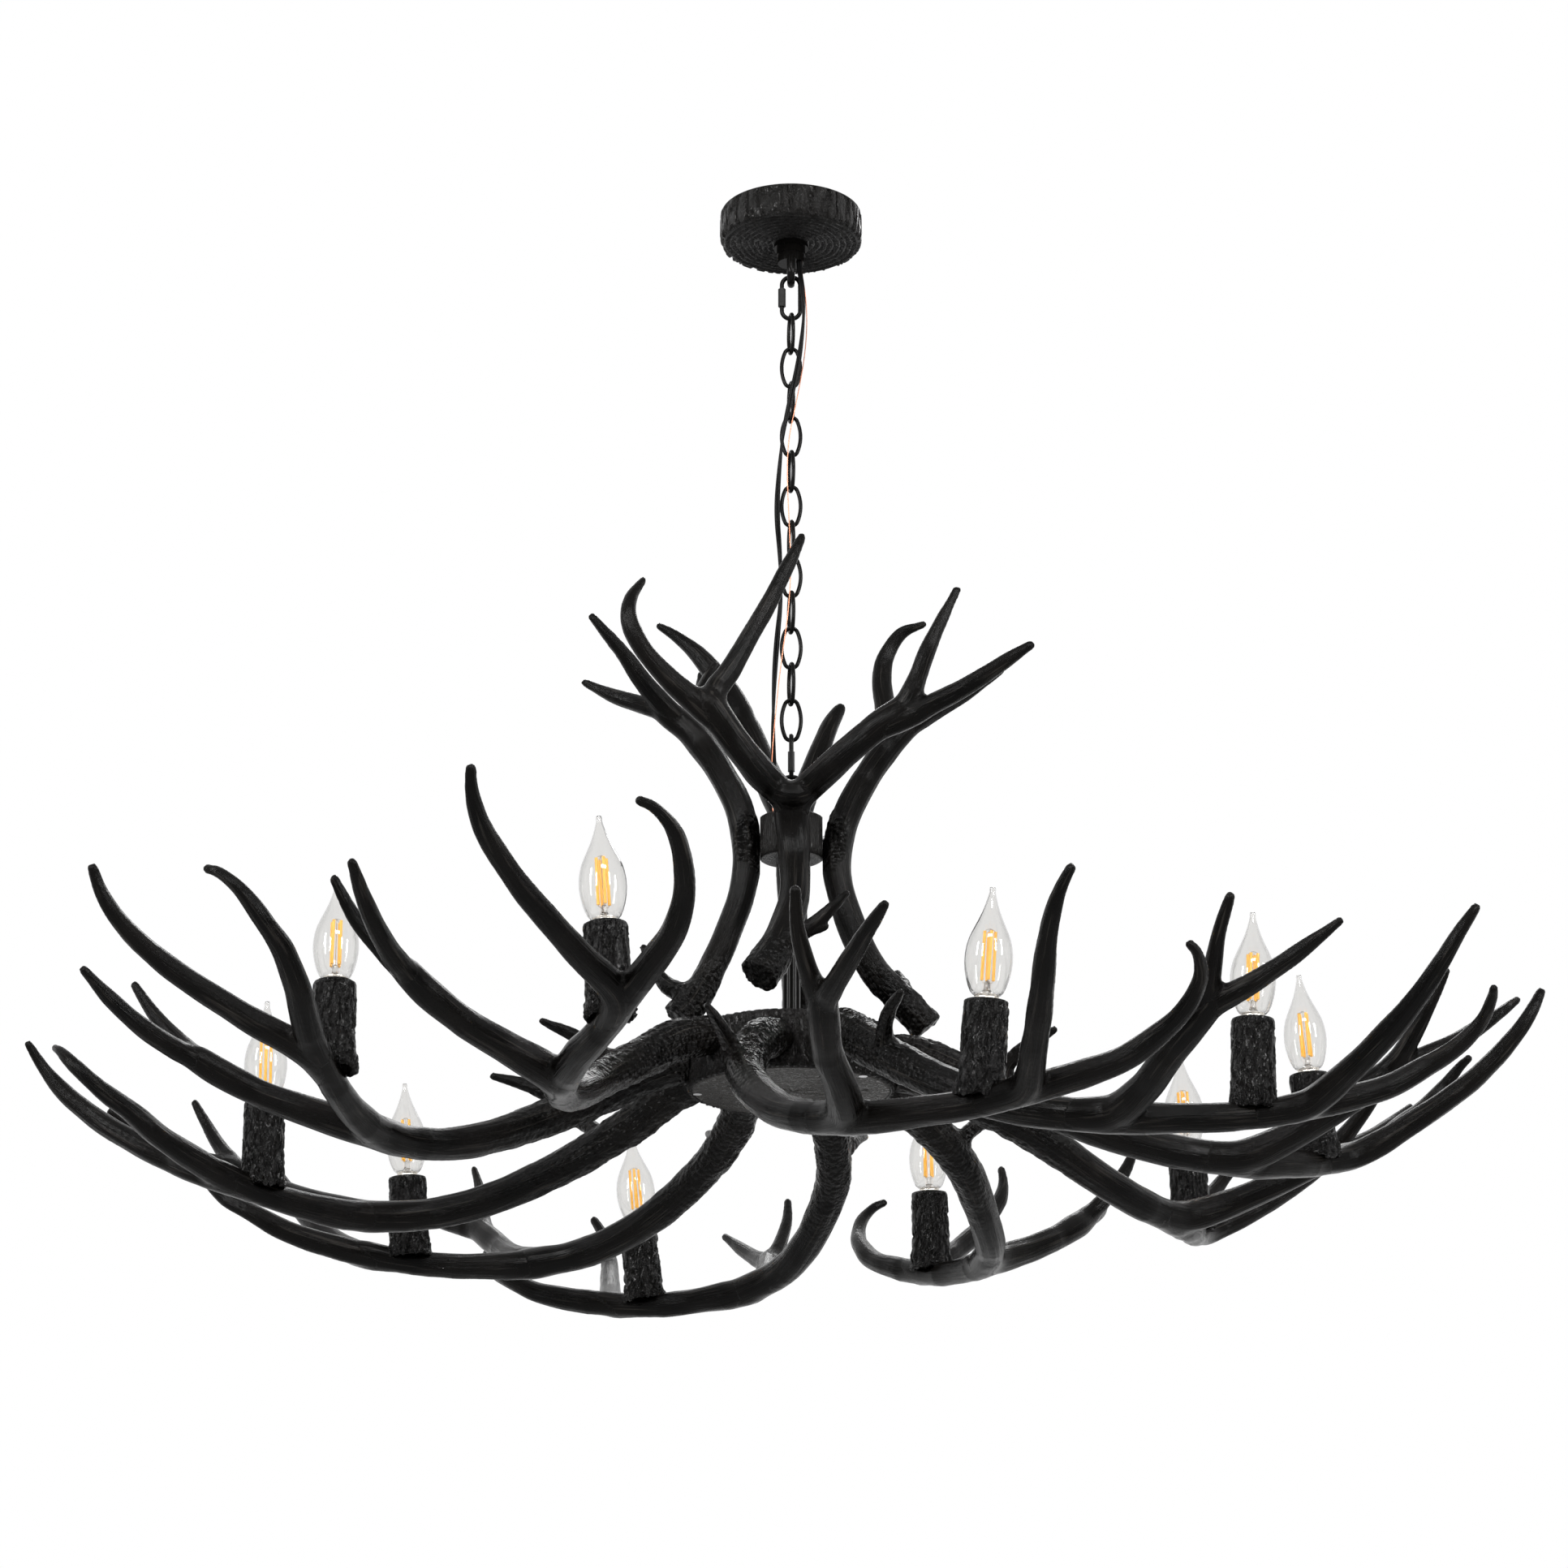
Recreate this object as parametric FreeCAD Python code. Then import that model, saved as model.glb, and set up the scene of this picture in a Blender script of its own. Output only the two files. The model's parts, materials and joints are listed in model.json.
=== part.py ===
import FreeCAD, Part
import math
import os

from FreeCAD import Placement, Rotation, Vector

# An antler chandelier: ten cast antlers stand out from a low drum and carry a
# candle lamp each, and a crown of four antlers stands round the stem above it.
# Millimetres, +Z up. The origin is the centre of the ceiling fixing, at the
# ceiling's face, and the part hangs below it. The viewer stands at -Y.

# ---------------------------------------------------------------- clearances
SEAT_GAP = 0.3            # between round faces that rest on each other
SLIP_FIT = 0.05           # radial clearance of a pin, stud or screw in its hole
WIRE_HOLE_GAP = 0.3       # radial clearance of a cord in the hole it enters

# ---------------------------------------------------------- ceiling fixing
CANOPY_R = 62.5
CANOPY_H = 29.0
CANOPY_WALL = 4.0
CANOPY_FLOOR = 4.0
BRACKET_LENGTH = 104.0
BRACKET_WIDTH = 20.0
BRACKET_T = 2.5
BOX_SCREW_SPACING = 88.9  # the usual ceiling-box screw spacing
BOX_SLOT_LENGTH = 10.0
BOX_SLOT_R = 2.3
GROUND_SCREW_X = 24.0
GROUND_SCREW_R = 2.0
GROUND_HEAD_R = 4.0
GROUND_HEAD_H = 2.4
GROUND_SCREW_LENGTH = 9.0
NIPPLE_R = 5.0
NIPPLE_BORE_R = 3.4
LOCKNUT_FLATS = 14.0
LOCKNUT_H = 4.0
COLLAR_FLANGE_R = 15.0
COLLAR_FLANGE_H = 4.0
COLLAR_R = 12.5
COLLAR_H = 6.0
LOOP_BOSS_R = 11.5
LOOP_BOSS_H = 8.0
LOOP_ROD_R = 3.5
LOOP_BEND_R = 9.0
LOOP_LEG = 9.5            # straight part of the loop's legs below its boss

# ------------------------------------------------------ chain and quick links
QUICK_WIRE_R = 1.9
QUICK_HALF_WIDTH = 7.9    # to the centre of the wire
QUICK_PITCH = 40.0        # from end wire centre to end wire centre
QUICK_NUT_R = 3.3
QUICK_NUT_LENGTH = 17.0
QUICK_GATE = 7.0          # the gap in the wire that the nut bridges
LINK_WIRE_R = 1.7
LINK_HALF_WIDTH = 8.1     # to the centre of the wire, as is the height
LINK_HALF_HEIGHT = 18.0
LINK_END_R = 5.7
LINK_TURN = 14.0          # degrees, how far every other link hangs off square
LINK_COUNT = 12

# ------------------------------------------------------------ stem and hubs
EYE_WIRE_R = 1.8
EYE_R = 13.2              # to the centre of the wire
EYE_COLLAR_R = 9.0
EYE_COLLAR_H = 10.0
EYE_NECK_R = 4.0
EYE_STUD_LENGTH = 14.0
STEM_R = 7.2
STEM_BORE_R = 5.2
STEM_BELOW_PLATE = 16.0   # how far the stem reaches into the drum
STEM_NUT_FLATS = 24.0
STEM_NUT_H = 8.0
UPPER_HUB_R = 28.0
UPPER_HUB_H = 36.0
UPPER_SEAT = 26.0         # axis to the flat that a crown antler is screwed to
UPPER_SCREW_R = 2.5
UPPER_SCREW_HEAD_R = 4.6
UPPER_SCREW_HEAD_H = 3.0
UPPER_SCREW_BITE = 14.0   # how deep the screw goes into the hub
DRUM_TOP_Z = -741.0
DRUM_R = 87.5
DRUM_H = 49.0
DRUM_SEAT = 84.5          # axis to the flat that a lower antler is bolted to
DRUM_WALL = 12.0
DRUM_PLATE = 8.0
BOLT_R = 3.0
BOLT_HEAD_R = 5.5
BOLT_HEAD_H = 4.0
BOLT_BITE = 26.0          # how deep a bolt goes into the antler's butt
COVER_R = 81.0
COVER_T = 5.0
COVER_SCREW_R = 1.8
COVER_SCREW_HEAD_R = 3.6
COVER_SCREW_LENGTH = 9.0
COVER_SCREW_CIRCLE = 77.2
COVER_SCREW_ANGLES = (-96, -24, 48, 120)
TERMINAL_SIZE = (46.0, 22.0, 14.0)
TERMINAL_OFFSET = 36.0

# ---------------------------------------------------------------- candle lamps
LAMP_COUNT = 10
LAMP_STEP = 360.0 / LAMP_COUNT
FIRST_LAMP_AZIMUTH = -17.5    # from the viewer's side, positive to the right
LAMP_PLANE_Z = -790.0         # the top rims of the candle sleeves
LAMP_RADIUS = 428.0           # axis of the chandelier to the axis of a lamp
POST_HOLE_Z = -72.0           # floor of the hole a lamp holder's post stands in
SLEEVE_R = 17.0
SLEEVE_BORE_R = 14.0
SLEEVE_TOP_R = 16.6
SLEEVE_LENGTH = 73.0          # to the lowest lip of the foot, astride the antler
FOOT_R = 21.5
FOOT_TOP = 25.0               # where the foot's flare starts
FOOT_WIDEST = 9.0             # and where it is widest, above that lip
HOLDER_R = 11.5
HOLDER_H = 34.0
HOLDER_BELOW_RIM = 9.0
HOLDER_POST_R = 6.0
CAP_R = 6.6
CAP_BELOW_RIM = 30.0
CAP_SKIRT_R = 10.2
CAP_SKIRT_H = 3.0
CAP_SKIRT_ABOVE_RIM = 1.5
GLASS_WALL = 0.9
# Outer radius of the flame-tip glass at heights above the sleeve's rim.
GLASS_PROFILE = ((1.5, 10.2), (10, 13.9), (20, 16.8), (29, 17.7), (38, 17.0), (47, 14.3),
                 (57, 10.0), (64, 7.0), (70, 4.6), (76, 2.8), (82, 2.2))

# ---------------------------------------------------------------- lower antlers
# One antler, in its own frame: +X out along its lamp, +Y turned left as seen
# from above, Z from the lamp plane. Each point is (x, y, z, radius).
JOINT = (352, -67, -82, 14.0)
CROTCH = (462, 28, -64, 12.0)
BEAM = ((66, -38, 28, 16.5), (100, -62, 17, 17.0), (130, -81, -2, 16.5), (177, -96, -28, 15.5),
        (225, -97, -52, 14.5), (270, -93, -69, 13.8), (312, -84, -78, 13.8), JOINT)
LAMP_BEAM = ((312, -84, -78, 13.0), (352, -66, -82, 13.5), (392, -37, -80, 12.0),
             (428, -3, -75, 11.5), CROTCH)
LONG_TINE = ((428, -3, -75, 11.0), (464, 18, -66, 11.8), (506, 7, -47, 10.4), (552, -8, -20, 9.4),
             (578, -17, 0, 8.4), (599, -23, 20, 7.2), (614, -24, 39, 5.6), (625, -20, 56, 4.2))
END_TINE = ((428, -3, -75, 11.0), (466, 33, -63, 11.5), (500, 73, -46, 10.0), (524, 93, -28, 8.8),
            (546, 102, -13, 7.6), (566, 104, 5, 6.2), (579, 96, 19, 4.8), (586, 86, 25, 3.8))
FORK_STEM = ((312, -84, -79, 13.0), (352, -76, -79, 14.0), (388, -92, -68, 12.6),
             (421, -114, -53, 11.6), (452, -130, -36, 12.2), (472, -138, -24, 11.0))
FORK_INNER = ((430, -118, -48, 10.0), (464, -138, -26, 9.8), (481, -155, -4, 7.4),
              (494, -168, 18, 5.8), (508, -176, 42, 3.8))
FORK_OUTER = ((430, -120, -48, 10.0), (470, -136, -27, 9.6), (510, -139, -12, 8.2),
              (544, -137, 6, 6.6), (573, -133, 25, 3.8))
BROW_TINE = ((160, -94, -20, 9.0), (163, -106, -3, 7.6), (178, -121, 9, 6.0), (200, -139, 18, 3.6))
LOWER_BRANCHES = (BEAM, LAMP_BEAM, LONG_TINE, END_TINE, FORK_STEM, FORK_INNER, FORK_OUTER,
                  BROW_TINE)
BUTT_AZIMUTH = -29.0          # from the lamp's azimuth to the butt's
BUTT_Z = 27.0                 # height of the bolt above the lamp plane
# How each casting sits: roll, pitch and yaw in degrees, and lift, going round
# from the front left lamp to the left. No two hang quite alike.
LOWER_POSES = ((4.9, 1.9, -0.9, 9.0), (6.2, 3.1, -0.6, -1.0), (-0.5, -0.8, 0.5, -4.0),
               (-3.4, -1.3, -2.7, -1.5), (-4.5, -3.2, 0.4, 0.5), (-0.6, 2.0, 0.3, -8.0),
               (-0.2, 2.9, -0.6, -11.0), (2.0, 3.9, 3.3, -7.0), (-0.6, -1.9, 0.0, 9.0),
               (-2.6, -4.7, 0.5, 2.0))

# ---------------------------------------------------------------- crown antlers
# In the frame of the whole part, each point (x, y, z, radius). Their beams pass
# the flats of the upper hub at UPPER_SEAT.
FRONT_CROWN = (
    ((-27, -92, -718, 17.0), (-16, -84, -699, 16.0), (-7, -74, -676, 13.5), (2, -56, -643, 13.0),
     (3, -38, -604, 13.6), (1, -38, -576, 14.5), (0, -46, -556, 15.5)),
    ((1, -38, -578, 12.0), (-4, -48, -556, 13.0), (-27, -70, -537, 13.2), (-48, -86, -514, 13.0),
     (-66, -98, -492, 14.0), (-70, -101, -486, 12.5)),
    ((-52, -88, -509, 11.0), (-74, -100, -492, 12.0), (-99, -109, -472, 9.6), (-120, -116, -450, 8.4),
     (-132, -118, -424, 7.6), (-131, -115, -403, 6.0), (-121, -109, -385, 3.8)),
    ((-52, -90, -510, 11.0), (-64, -98, -484, 11.0), (-50, -95, -458, 9.4), (-36, -91, -431, 8.6),
     (-22, -86, -403, 7.8), (-5, -81, -366, 6.6), (9, -76, -333, 4.0)),
    ((1, -38, -578, 12.0), (5, -48, -556, 13.0), (24, -68, -541, 12.6), (46, -84, -525, 12.4),
     (70, -94, -508, 12.8), (88, -100, -497, 12.8)),
    ((66, -92, -511, 10.5), (92, -102, -492, 10.8), (102, -107, -471, 8.2), (113, -111, -442, 6.8),
     (136, -109, -393, 3.6)),
    ((66, -93, -511, 10.5), (92, -101, -502, 10.8), (116, -108, -492, 9.2), (148, -118, -477, 7.8),
     (172, -122, -462, 6.6), (195, -124, -447, 4.0)),
    ((-10, -80, -686, 10.0), (6, -88, -682, 8.2), (20, -93, -673, 6.4), (33, -99, -662, 5.0),
     (45, -103, -651, 3.2)),
    ((2, -86, -684, 6.0), (16, -91, -681, 4.6), (29, -95, -677, 2.8)),
)
LEFT_CROWN = (
    ((-92, -10, -731, 15.0), (-80, -6, -714, 14.0), (-67, -2, -690, 12.2), (-53, 0, -656, 11.6),
     (-41, 0, -622, 11.6), (-37, 0, -588, 12.4), (-43, 0, -550, 12.6), (-59, 0, -515, 12.4),
     (-82, 0, -482, 12.6), (-106, 2, -461, 11.6)),
    ((-84, 0, -480, 11.0), (-108, 4, -460, 10.0), (-130, 15, -449, 8.2), (-152, 25, -438, 6.6),
     (-176, 33, -423, 3.8)),
    ((-84, 0, -480, 10.0), (-108, -4, -456, 9.6), (-126, -14, -437, 8.4), (-142, -22, -416, 6.8),
     (-168, -28, -386, 3.4)),
    ((-70, -3, -700, 8.0), (-88, 0, -706, 9.0), (-104, 5, -697, 7.4), (-114, 10, -682, 5.6),
     (-123, 14, -662, 3.6)),
    ((-48, 2, -540, 9.0), (-62, 20, -506, 10.4), (-76, 46, -470, 9.8), (-82, 64, -440, 8.4),
     (-76, 76, -412, 6.6), (-66, 82, -388, 3.8)),
)
RIGHT_CROWN = (
    ((112, 8, -735, 15.0), (92, 5, -712, 14.0), (70, 1, -690, 13.0), (52, 0, -656, 12.4),
     (41, 0, -621, 12.2), (37.5, 0, -588, 12.6), (48, 0, -550, 12.6), (64, 0, -518, 12.2),
     (84, 0, -489, 12.0), (98, 2, -474, 11.0)),
    ((66, 0, -514, 10.0), (80, 12, -478, 10.4), (80, 22, -452, 9.6), (77, 29, -426, 9.0),
     (81, 33, -400, 8.0), (94, 32, -379, 6.0), (114, 28, -372, 3.6)),
    ((84, 0, -489, 10.0), (110, 2, -466, 9.4), (143, 0, -447, 7.6), (178, -2, -424, 3.8)),
    ((76, 0, -696, 9.0), (90, 8, -702, 9.0), (92, 22, -694, 7.0), (88, 34, -680, 3.6)),
)
BACK_CROWN = (
    ((6, 98, -728, 15.0), (6, 90, -706, 14.0), (4, 74, -670, 12.8), (2, 54, -632, 12.4),
     (0, 38, -594, 12.8), (0, 38, -566, 13.4), (0, 46, -542, 14.0)),
    ((0, 39, -562, 11.5), (-8, 52, -532, 12.8), (-26, 72, -482, 13.2), (-48, 90, -426, 12.6),
     (-64, 98, -396, 10.4), (-82, 103, -372, 8.2), (-100, 107, -354, 6.0), (-116, 109, -343, 3.8)),
    ((-40, 84, -440, 9.0), (-62, 112, -424, 9.4), (-76, 132, -402, 7.6), (-80, 142, -376, 3.8)),
    ((0, 39, -562, 11.5), (7, 54, -532, 12.0), (20, 72, -486, 10.4), (32, 85, -449, 8.6),
     (40, 91, -431, 6.6), (44, 93, -424, 4.8)),
    ((4, 84, -694, 9.0), (2, 104, -704, 8.4), (0, 118, -716, 6.4), (-5, 130, -724, 5.0),
     (-13, 142, -728, 3.2)),
)

# ---------------------------------------------------------------- cords
CORD_R = 2.5
GROUND_R = 0.7
# The points of each route, before the tube rounds them.
CORD_ROUTE = ((7, -4, -44), (7.3, -4.4, -56), (10, -9, -73), (11.4, -10.4, -96), (9.5, -11, -122),
              (6, -14, -150), (0, -16, -180), (-7, -13.4, -212), (-10.4, -8.4, -246),
              (-12.6, -2.6, -282), (-9.4, 6, -318), (-8.4, 9.2, -356), (-12, 4.6, -394),
              (-14.4, -0.6, -432), (-15.4, -1.4, -470), (-15, 3.4, -502), (-13.8, 9.6, -528),
              (-13.1, 12.8, -546), (-13, 13, -557))
GROUND_ROUTE = ((9, 2.4, -44), (9.6, 2.8, -55), (12.8, 3.4, -75), (13.9, 1.4, -100),
                (12.9, -4.2, -126), (9.8, -11, -154), (4, -16.4, -188), (-2.8, -15.6, -222),
                (-3.4, -14, -258), (-1.6, -14.6, -298), (0, -14.2, -338), (-2.6, -13.6, -380),
                (-9, -10.6, -424), (-13.6, -8.4, -470), (-16.4, -8.2, -506), (-16, -8.8, -534),
                (-15.1, -9, -556))
CORD_HOLE_DEPTH = 6.0

# ------------------------------------------------------ heights worked out
BRACKET_Z = -BRACKET_T
CANOPY_BOTTOM = -CANOPY_H
COLLAR_BOTTOM = CANOPY_BOTTOM - COLLAR_FLANGE_H - COLLAR_H
BOSS_BOTTOM = COLLAR_BOTTOM - LOOP_BOSS_H
LOOP_CENTRE_Z = BOSS_BOTTOM - LOOP_LEG
LOOP_INNER_Z = LOOP_CENTRE_Z - LOOP_BEND_R + LOOP_ROD_R
TOP_LINK_Z = LOOP_INNER_Z + SEAT_GAP + QUICK_WIRE_R - QUICK_PITCH / 2
LINK_STEP = 2 * (LINK_HALF_HEIGHT - LINK_WIRE_R) - SEAT_GAP
FIRST_LINK_Z = (TOP_LINK_Z - QUICK_PITCH / 2 + QUICK_WIRE_R + SEAT_GAP + LINK_WIRE_R
                - LINK_HALF_HEIGHT)
LAST_LINK_Z = FIRST_LINK_Z - (LINK_COUNT - 1) * LINK_STEP
BOTTOM_LINK_Z = (LAST_LINK_Z - LINK_HALF_HEIGHT + LINK_WIRE_R + SEAT_GAP + QUICK_WIRE_R
                 - QUICK_PITCH / 2)
EYE_Z = BOTTOM_LINK_Z - QUICK_PITCH / 2 + QUICK_WIRE_R + SEAT_GAP + EYE_WIRE_R - EYE_R
EYE_COLLAR_TOP = EYE_Z - EYE_R
UPPER_HUB_TOP = EYE_COLLAR_TOP - EYE_COLLAR_H
UPPER_HUB_BOTTOM = UPPER_HUB_TOP - UPPER_HUB_H
UPPER_SCREW_Z = (UPPER_HUB_TOP + UPPER_HUB_BOTTOM) / 2
DRUM_BOTTOM = DRUM_TOP_Z - DRUM_H
PLATE_BOTTOM = DRUM_TOP_Z - DRUM_PLATE
STEM_BOTTOM = PLATE_BOTTOM - STEM_BELOW_PLATE
BOLT_Z = LAMP_PLANE_Z + BUTT_Z
DRUM_CAVITY_R = DRUM_SEAT - DRUM_WALL
TOP_WIRE_Z = TOP_LINK_Z + QUICK_PITCH / 2


# ---------------------------------------------------------------- small helpers
def cylinder(radius, height, z, x=0.0, y=0.0):
    return Part.makeCylinder(radius, height, Vector(x, y, z))


def hexagon(flats, height, z):
    corner = flats / math.sqrt(3)
    points = []
    for k in range(7):
        angle = math.radians(60 * k)
        points.append(Vector(corner * math.cos(angle), corner * math.sin(angle), z))
    return Part.Face(Part.makePolygon(points)).extrude(Vector(0, 0, height))


def outward(azimuth):
    """Level direction at an azimuth from the viewer's side, positive right."""
    angle = math.radians(azimuth)
    return Vector(math.sin(angle), -math.cos(angle), 0)


def radial_pin(azimuth, radius, start, end, z):
    """A level cylinder along an azimuth, from one distance to another."""
    along = outward(azimuth)
    foot = Vector(along.x * start, along.y * start, z)
    return Part.makeCylinder(radius, end - start, foot, along)


def seat_block(azimuth, seat, z_low, z_high):
    """The space inside a hub's flat, which an antler is trimmed back from."""
    reach = 2 * seat
    block = Part.makeBox(reach, reach, z_high - z_low, Vector(seat - reach, -reach / 2, z_low))
    block.rotate(Vector(0, 0, 0), Vector(0, 0, 1), azimuth - 90)
    return block


def smooth_path(points):
    """A Catmull-Rom line through (x, y, z, radius) points, in short steps."""
    first = [2 * a - b for a, b in zip(points[0], points[1])]
    last = [2 * a - b for a, b in zip(points[-1], points[-2])]
    line = [first] + [list(p) for p in points] + [last]
    out = []
    for k in range(1, len(line) - 2):
        for step in range(2):
            t = step / 2.0
            out.append([0.5 * (2 * b + (c - a) * t + (2 * a - 5 * b + 4 * c - d) * t * t
                               + (3 * b - a - 3 * c + d) * t * t * t)
                        for a, b, c, d in zip(*line[k - 1:k + 3])])
    out.append(list(points[-1]))
    return out


def tine(points, grow=0.0, rounded=True):
    """A tapering horn through the points: round sections, and a round tip."""
    path = smooth_path(points)
    spots = [Vector(*p[:3]) for p in path]
    radii = [p[3] + grow for p in path]
    aims = []
    for k in range(len(spots)):
        before = spots[max(k - 1, 0)]
        after = spots[min(k + 1, len(spots) - 1)]
        aims.append((after - before).normalize())
    if rounded:
        tip = spots[-1]
        aim = aims[-1]
        for share in (0.55, 0.9):
            spots.append(tip + aim * (radii[len(path) - 1] * share))
            radii.append(radii[len(path) - 1] * math.sqrt(1 - share * share))
            aims.append(aim)
    wires = []
    for spot, radius, aim in zip(spots, radii, aims):
        wires.append(Part.Wire(Part.Circle(spot, aim, radius).toShape()))
    return Part.makeLoft(wires, True, False)


def fuse_all(solids):
    whole = solids[0]
    for solid in solids[1:]:
        whole = whole.fuse(solid)
    return whole.removeSplitter()


def ring(half_width, half_height, end_r, wire_r, across):
    """An oval ring of round wire about the origin, in the X-Z or Y-Z plane."""
    centre = half_height - end_r
    if abs(half_width - end_r) < 1e-6:
        side = [Part.LineSegment(Vector(half_width, 0, -centre), Vector(half_width, 0, centre)),
                Part.LineSegment(Vector(-half_width, 0, centre), Vector(-half_width, 0, -centre))]
        meet_x, meet_z = half_width, centre
    else:
        side_r = (half_width ** 2 + centre ** 2 - end_r ** 2) / (2 * (half_width - end_r))
        back = side_r - half_width
        slope = math.atan2(centre, back)
        meet_x = end_r * math.cos(slope)
        meet_z = centre + end_r * math.sin(slope)
        side = [Part.Arc(Vector(meet_x, 0, -meet_z), Vector(half_width, 0, 0),
                         Vector(meet_x, 0, meet_z)),
                Part.Arc(Vector(-meet_x, 0, meet_z), Vector(-half_width, 0, 0),
                         Vector(-meet_x, 0, -meet_z))]
    top = Part.Arc(Vector(meet_x, 0, meet_z), Vector(0, 0, half_height), Vector(-meet_x, 0, meet_z))
    foot = Part.Arc(Vector(-meet_x, 0, -meet_z), Vector(0, 0, -half_height),
                    Vector(meet_x, 0, -meet_z))
    path = Part.Wire([side[0].toShape(), top.toShape(), side[1].toShape(), foot.toShape()])
    start = side[0].toShape().Vertexes[0].Point
    aim = side[0].toShape().Edges[0].tangentAt(side[0].toShape().FirstParameter)
    section = Part.Wire(Part.Circle(start, aim, wire_r).toShape())
    solid = path.makePipeShell([section], True, True)
    if across == "Y":
        solid.rotate(Vector(0, 0, 0), Vector(0, 0, 1), 90)
    return solid


def cord_tube(route, radius, label):
    """A tube of straight runs joined by tangent arcs along a route."""
    spots = [Vector(*p) for p in route]
    edges = []
    radii = []
    at = spots[0]
    for k in range(1, len(spots) - 1):
        into = (spots[k] - spots[k - 1]).normalize()
        out = (spots[k + 1] - spots[k]).normalize()
        run = min((spots[k] - spots[k - 1]).Length, (spots[k + 1] - spots[k]).Length)
        turn = math.acos(max(-1.0, min(1.0, into.dot(out))))
        back = 0.45 * run
        radii.append(back / math.tan(turn / 2))
        begin = spots[k] - into * back
        end = spots[k] + out * back
        bisector = (out - into).normalize()
        centre = spots[k] + bisector * (radii[-1] / math.cos(turn / 2))
        middle = centre - bisector * radii[-1]
        edges.append(Part.LineSegment(at, begin).toShape())
        edges.append(Part.Arc(begin, middle, end).toShape())
        at = end
    edges.append(Part.LineSegment(at, spots[-1]).toShape())
    path = Part.Wire(edges)
    aim = (spots[1] - spots[0]).normalize()
    section = Part.Wire(Part.Circle(spots[0], aim, radius).toShape())
    solid = path.makePipeShell([section], True, True)
    expected = math.pi * radius * radius * path.Length
    print(label, "length", round(path.Length, 1), "smallest radius", round(min(radii), 1),
          "volume over section times length", round(solid.Volume / expected, 4))
    return solid


def hole_for(route_end, radius, z_low, z_high):
    return cylinder(radius + WIRE_HOLE_GAP, z_high - z_low, z_low, route_end[0], route_end[1])


def save(name, solids):
    """Write one named piece, or a group of like pieces, to its own file."""
    shape = solids[0] if len(solids) == 1 else Part.makeCompound(solids)
    for solid in shape.Solids:
        if not solid.isValid():
            print("not valid:", name)
    print(name, len(shape.Solids), "solids", round(shape.Volume / 1000.0, 1), "cm3")
    shape.exportStep("parts/" + name + ".step")


# ---------------------------------------------------------------- ceiling fixing
def ceiling_bracket():
    bar = Part.makeBox(BRACKET_LENGTH, BRACKET_WIDTH, BRACKET_T,
                       Vector(-BRACKET_LENGTH / 2, -BRACKET_WIDTH / 2, BRACKET_Z))
    bar = bar.cut(cylinder(NIPPLE_R + SLIP_FIT, BRACKET_T, BRACKET_Z))
    bar = bar.cut(cylinder(GROUND_SCREW_R + SLIP_FIT, BRACKET_T, BRACKET_Z, GROUND_SCREW_X))
    straight = BOX_SLOT_LENGTH - 2 * BOX_SLOT_R
    for side in (-1, 1):
        x = side * BOX_SCREW_SPACING / 2
        slot = Part.makeBox(straight, 2 * BOX_SLOT_R, BRACKET_T,
                            Vector(x - straight / 2, -BOX_SLOT_R, BRACKET_Z))
        for end in (-1, 1):
            slot = slot.fuse(cylinder(BOX_SLOT_R, BRACKET_T, BRACKET_Z, x + end * straight / 2))
        bar = bar.cut(slot.removeSplitter())
    return bar


def ground_screw():
    head = cylinder(GROUND_HEAD_R, GROUND_HEAD_H, BRACKET_Z - GROUND_HEAD_H, GROUND_SCREW_X)
    length = min(GROUND_SCREW_LENGTH, GROUND_HEAD_H + BRACKET_T)
    shank = cylinder(GROUND_SCREW_R, length, BRACKET_Z - GROUND_HEAD_H, GROUND_SCREW_X)
    return head.fuse(shank).removeSplitter()


def threaded_nipple():
    tube = cylinder(NIPPLE_R, -COLLAR_BOTTOM, COLLAR_BOTTOM)
    return tube.cut(cylinder(NIPPLE_BORE_R, -COLLAR_BOTTOM, COLLAR_BOTTOM))


def locknut():
    nut = hexagon(LOCKNUT_FLATS, LOCKNUT_H, BRACKET_Z - LOCKNUT_H)
    return nut.cut(cylinder(NIPPLE_R + SLIP_FIT, LOCKNUT_H, BRACKET_Z - LOCKNUT_H))


def canopy():
    slab = cylinder(CANOPY_R, CANOPY_H, CANOPY_BOTTOM)
    hollow = cylinder(CANOPY_R - CANOPY_WALL, CANOPY_H - CANOPY_FLOOR,
                      CANOPY_BOTTOM + CANOPY_FLOOR)
    hole = cylinder(NIPPLE_R + SLIP_FIT, CANOPY_FLOOR, CANOPY_BOTTOM)
    return slab.cut(hollow).cut(hole)


def collar_nut():
    flange = cylinder(COLLAR_FLANGE_R, COLLAR_FLANGE_H, CANOPY_BOTTOM - COLLAR_FLANGE_H)
    body = cylinder(COLLAR_R, COLLAR_H, COLLAR_BOTTOM)
    bore = cylinder(NIPPLE_R + SLIP_FIT, COLLAR_FLANGE_H + COLLAR_H, COLLAR_BOTTOM)
    return flange.fuse(body).removeSplitter().cut(bore)


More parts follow.
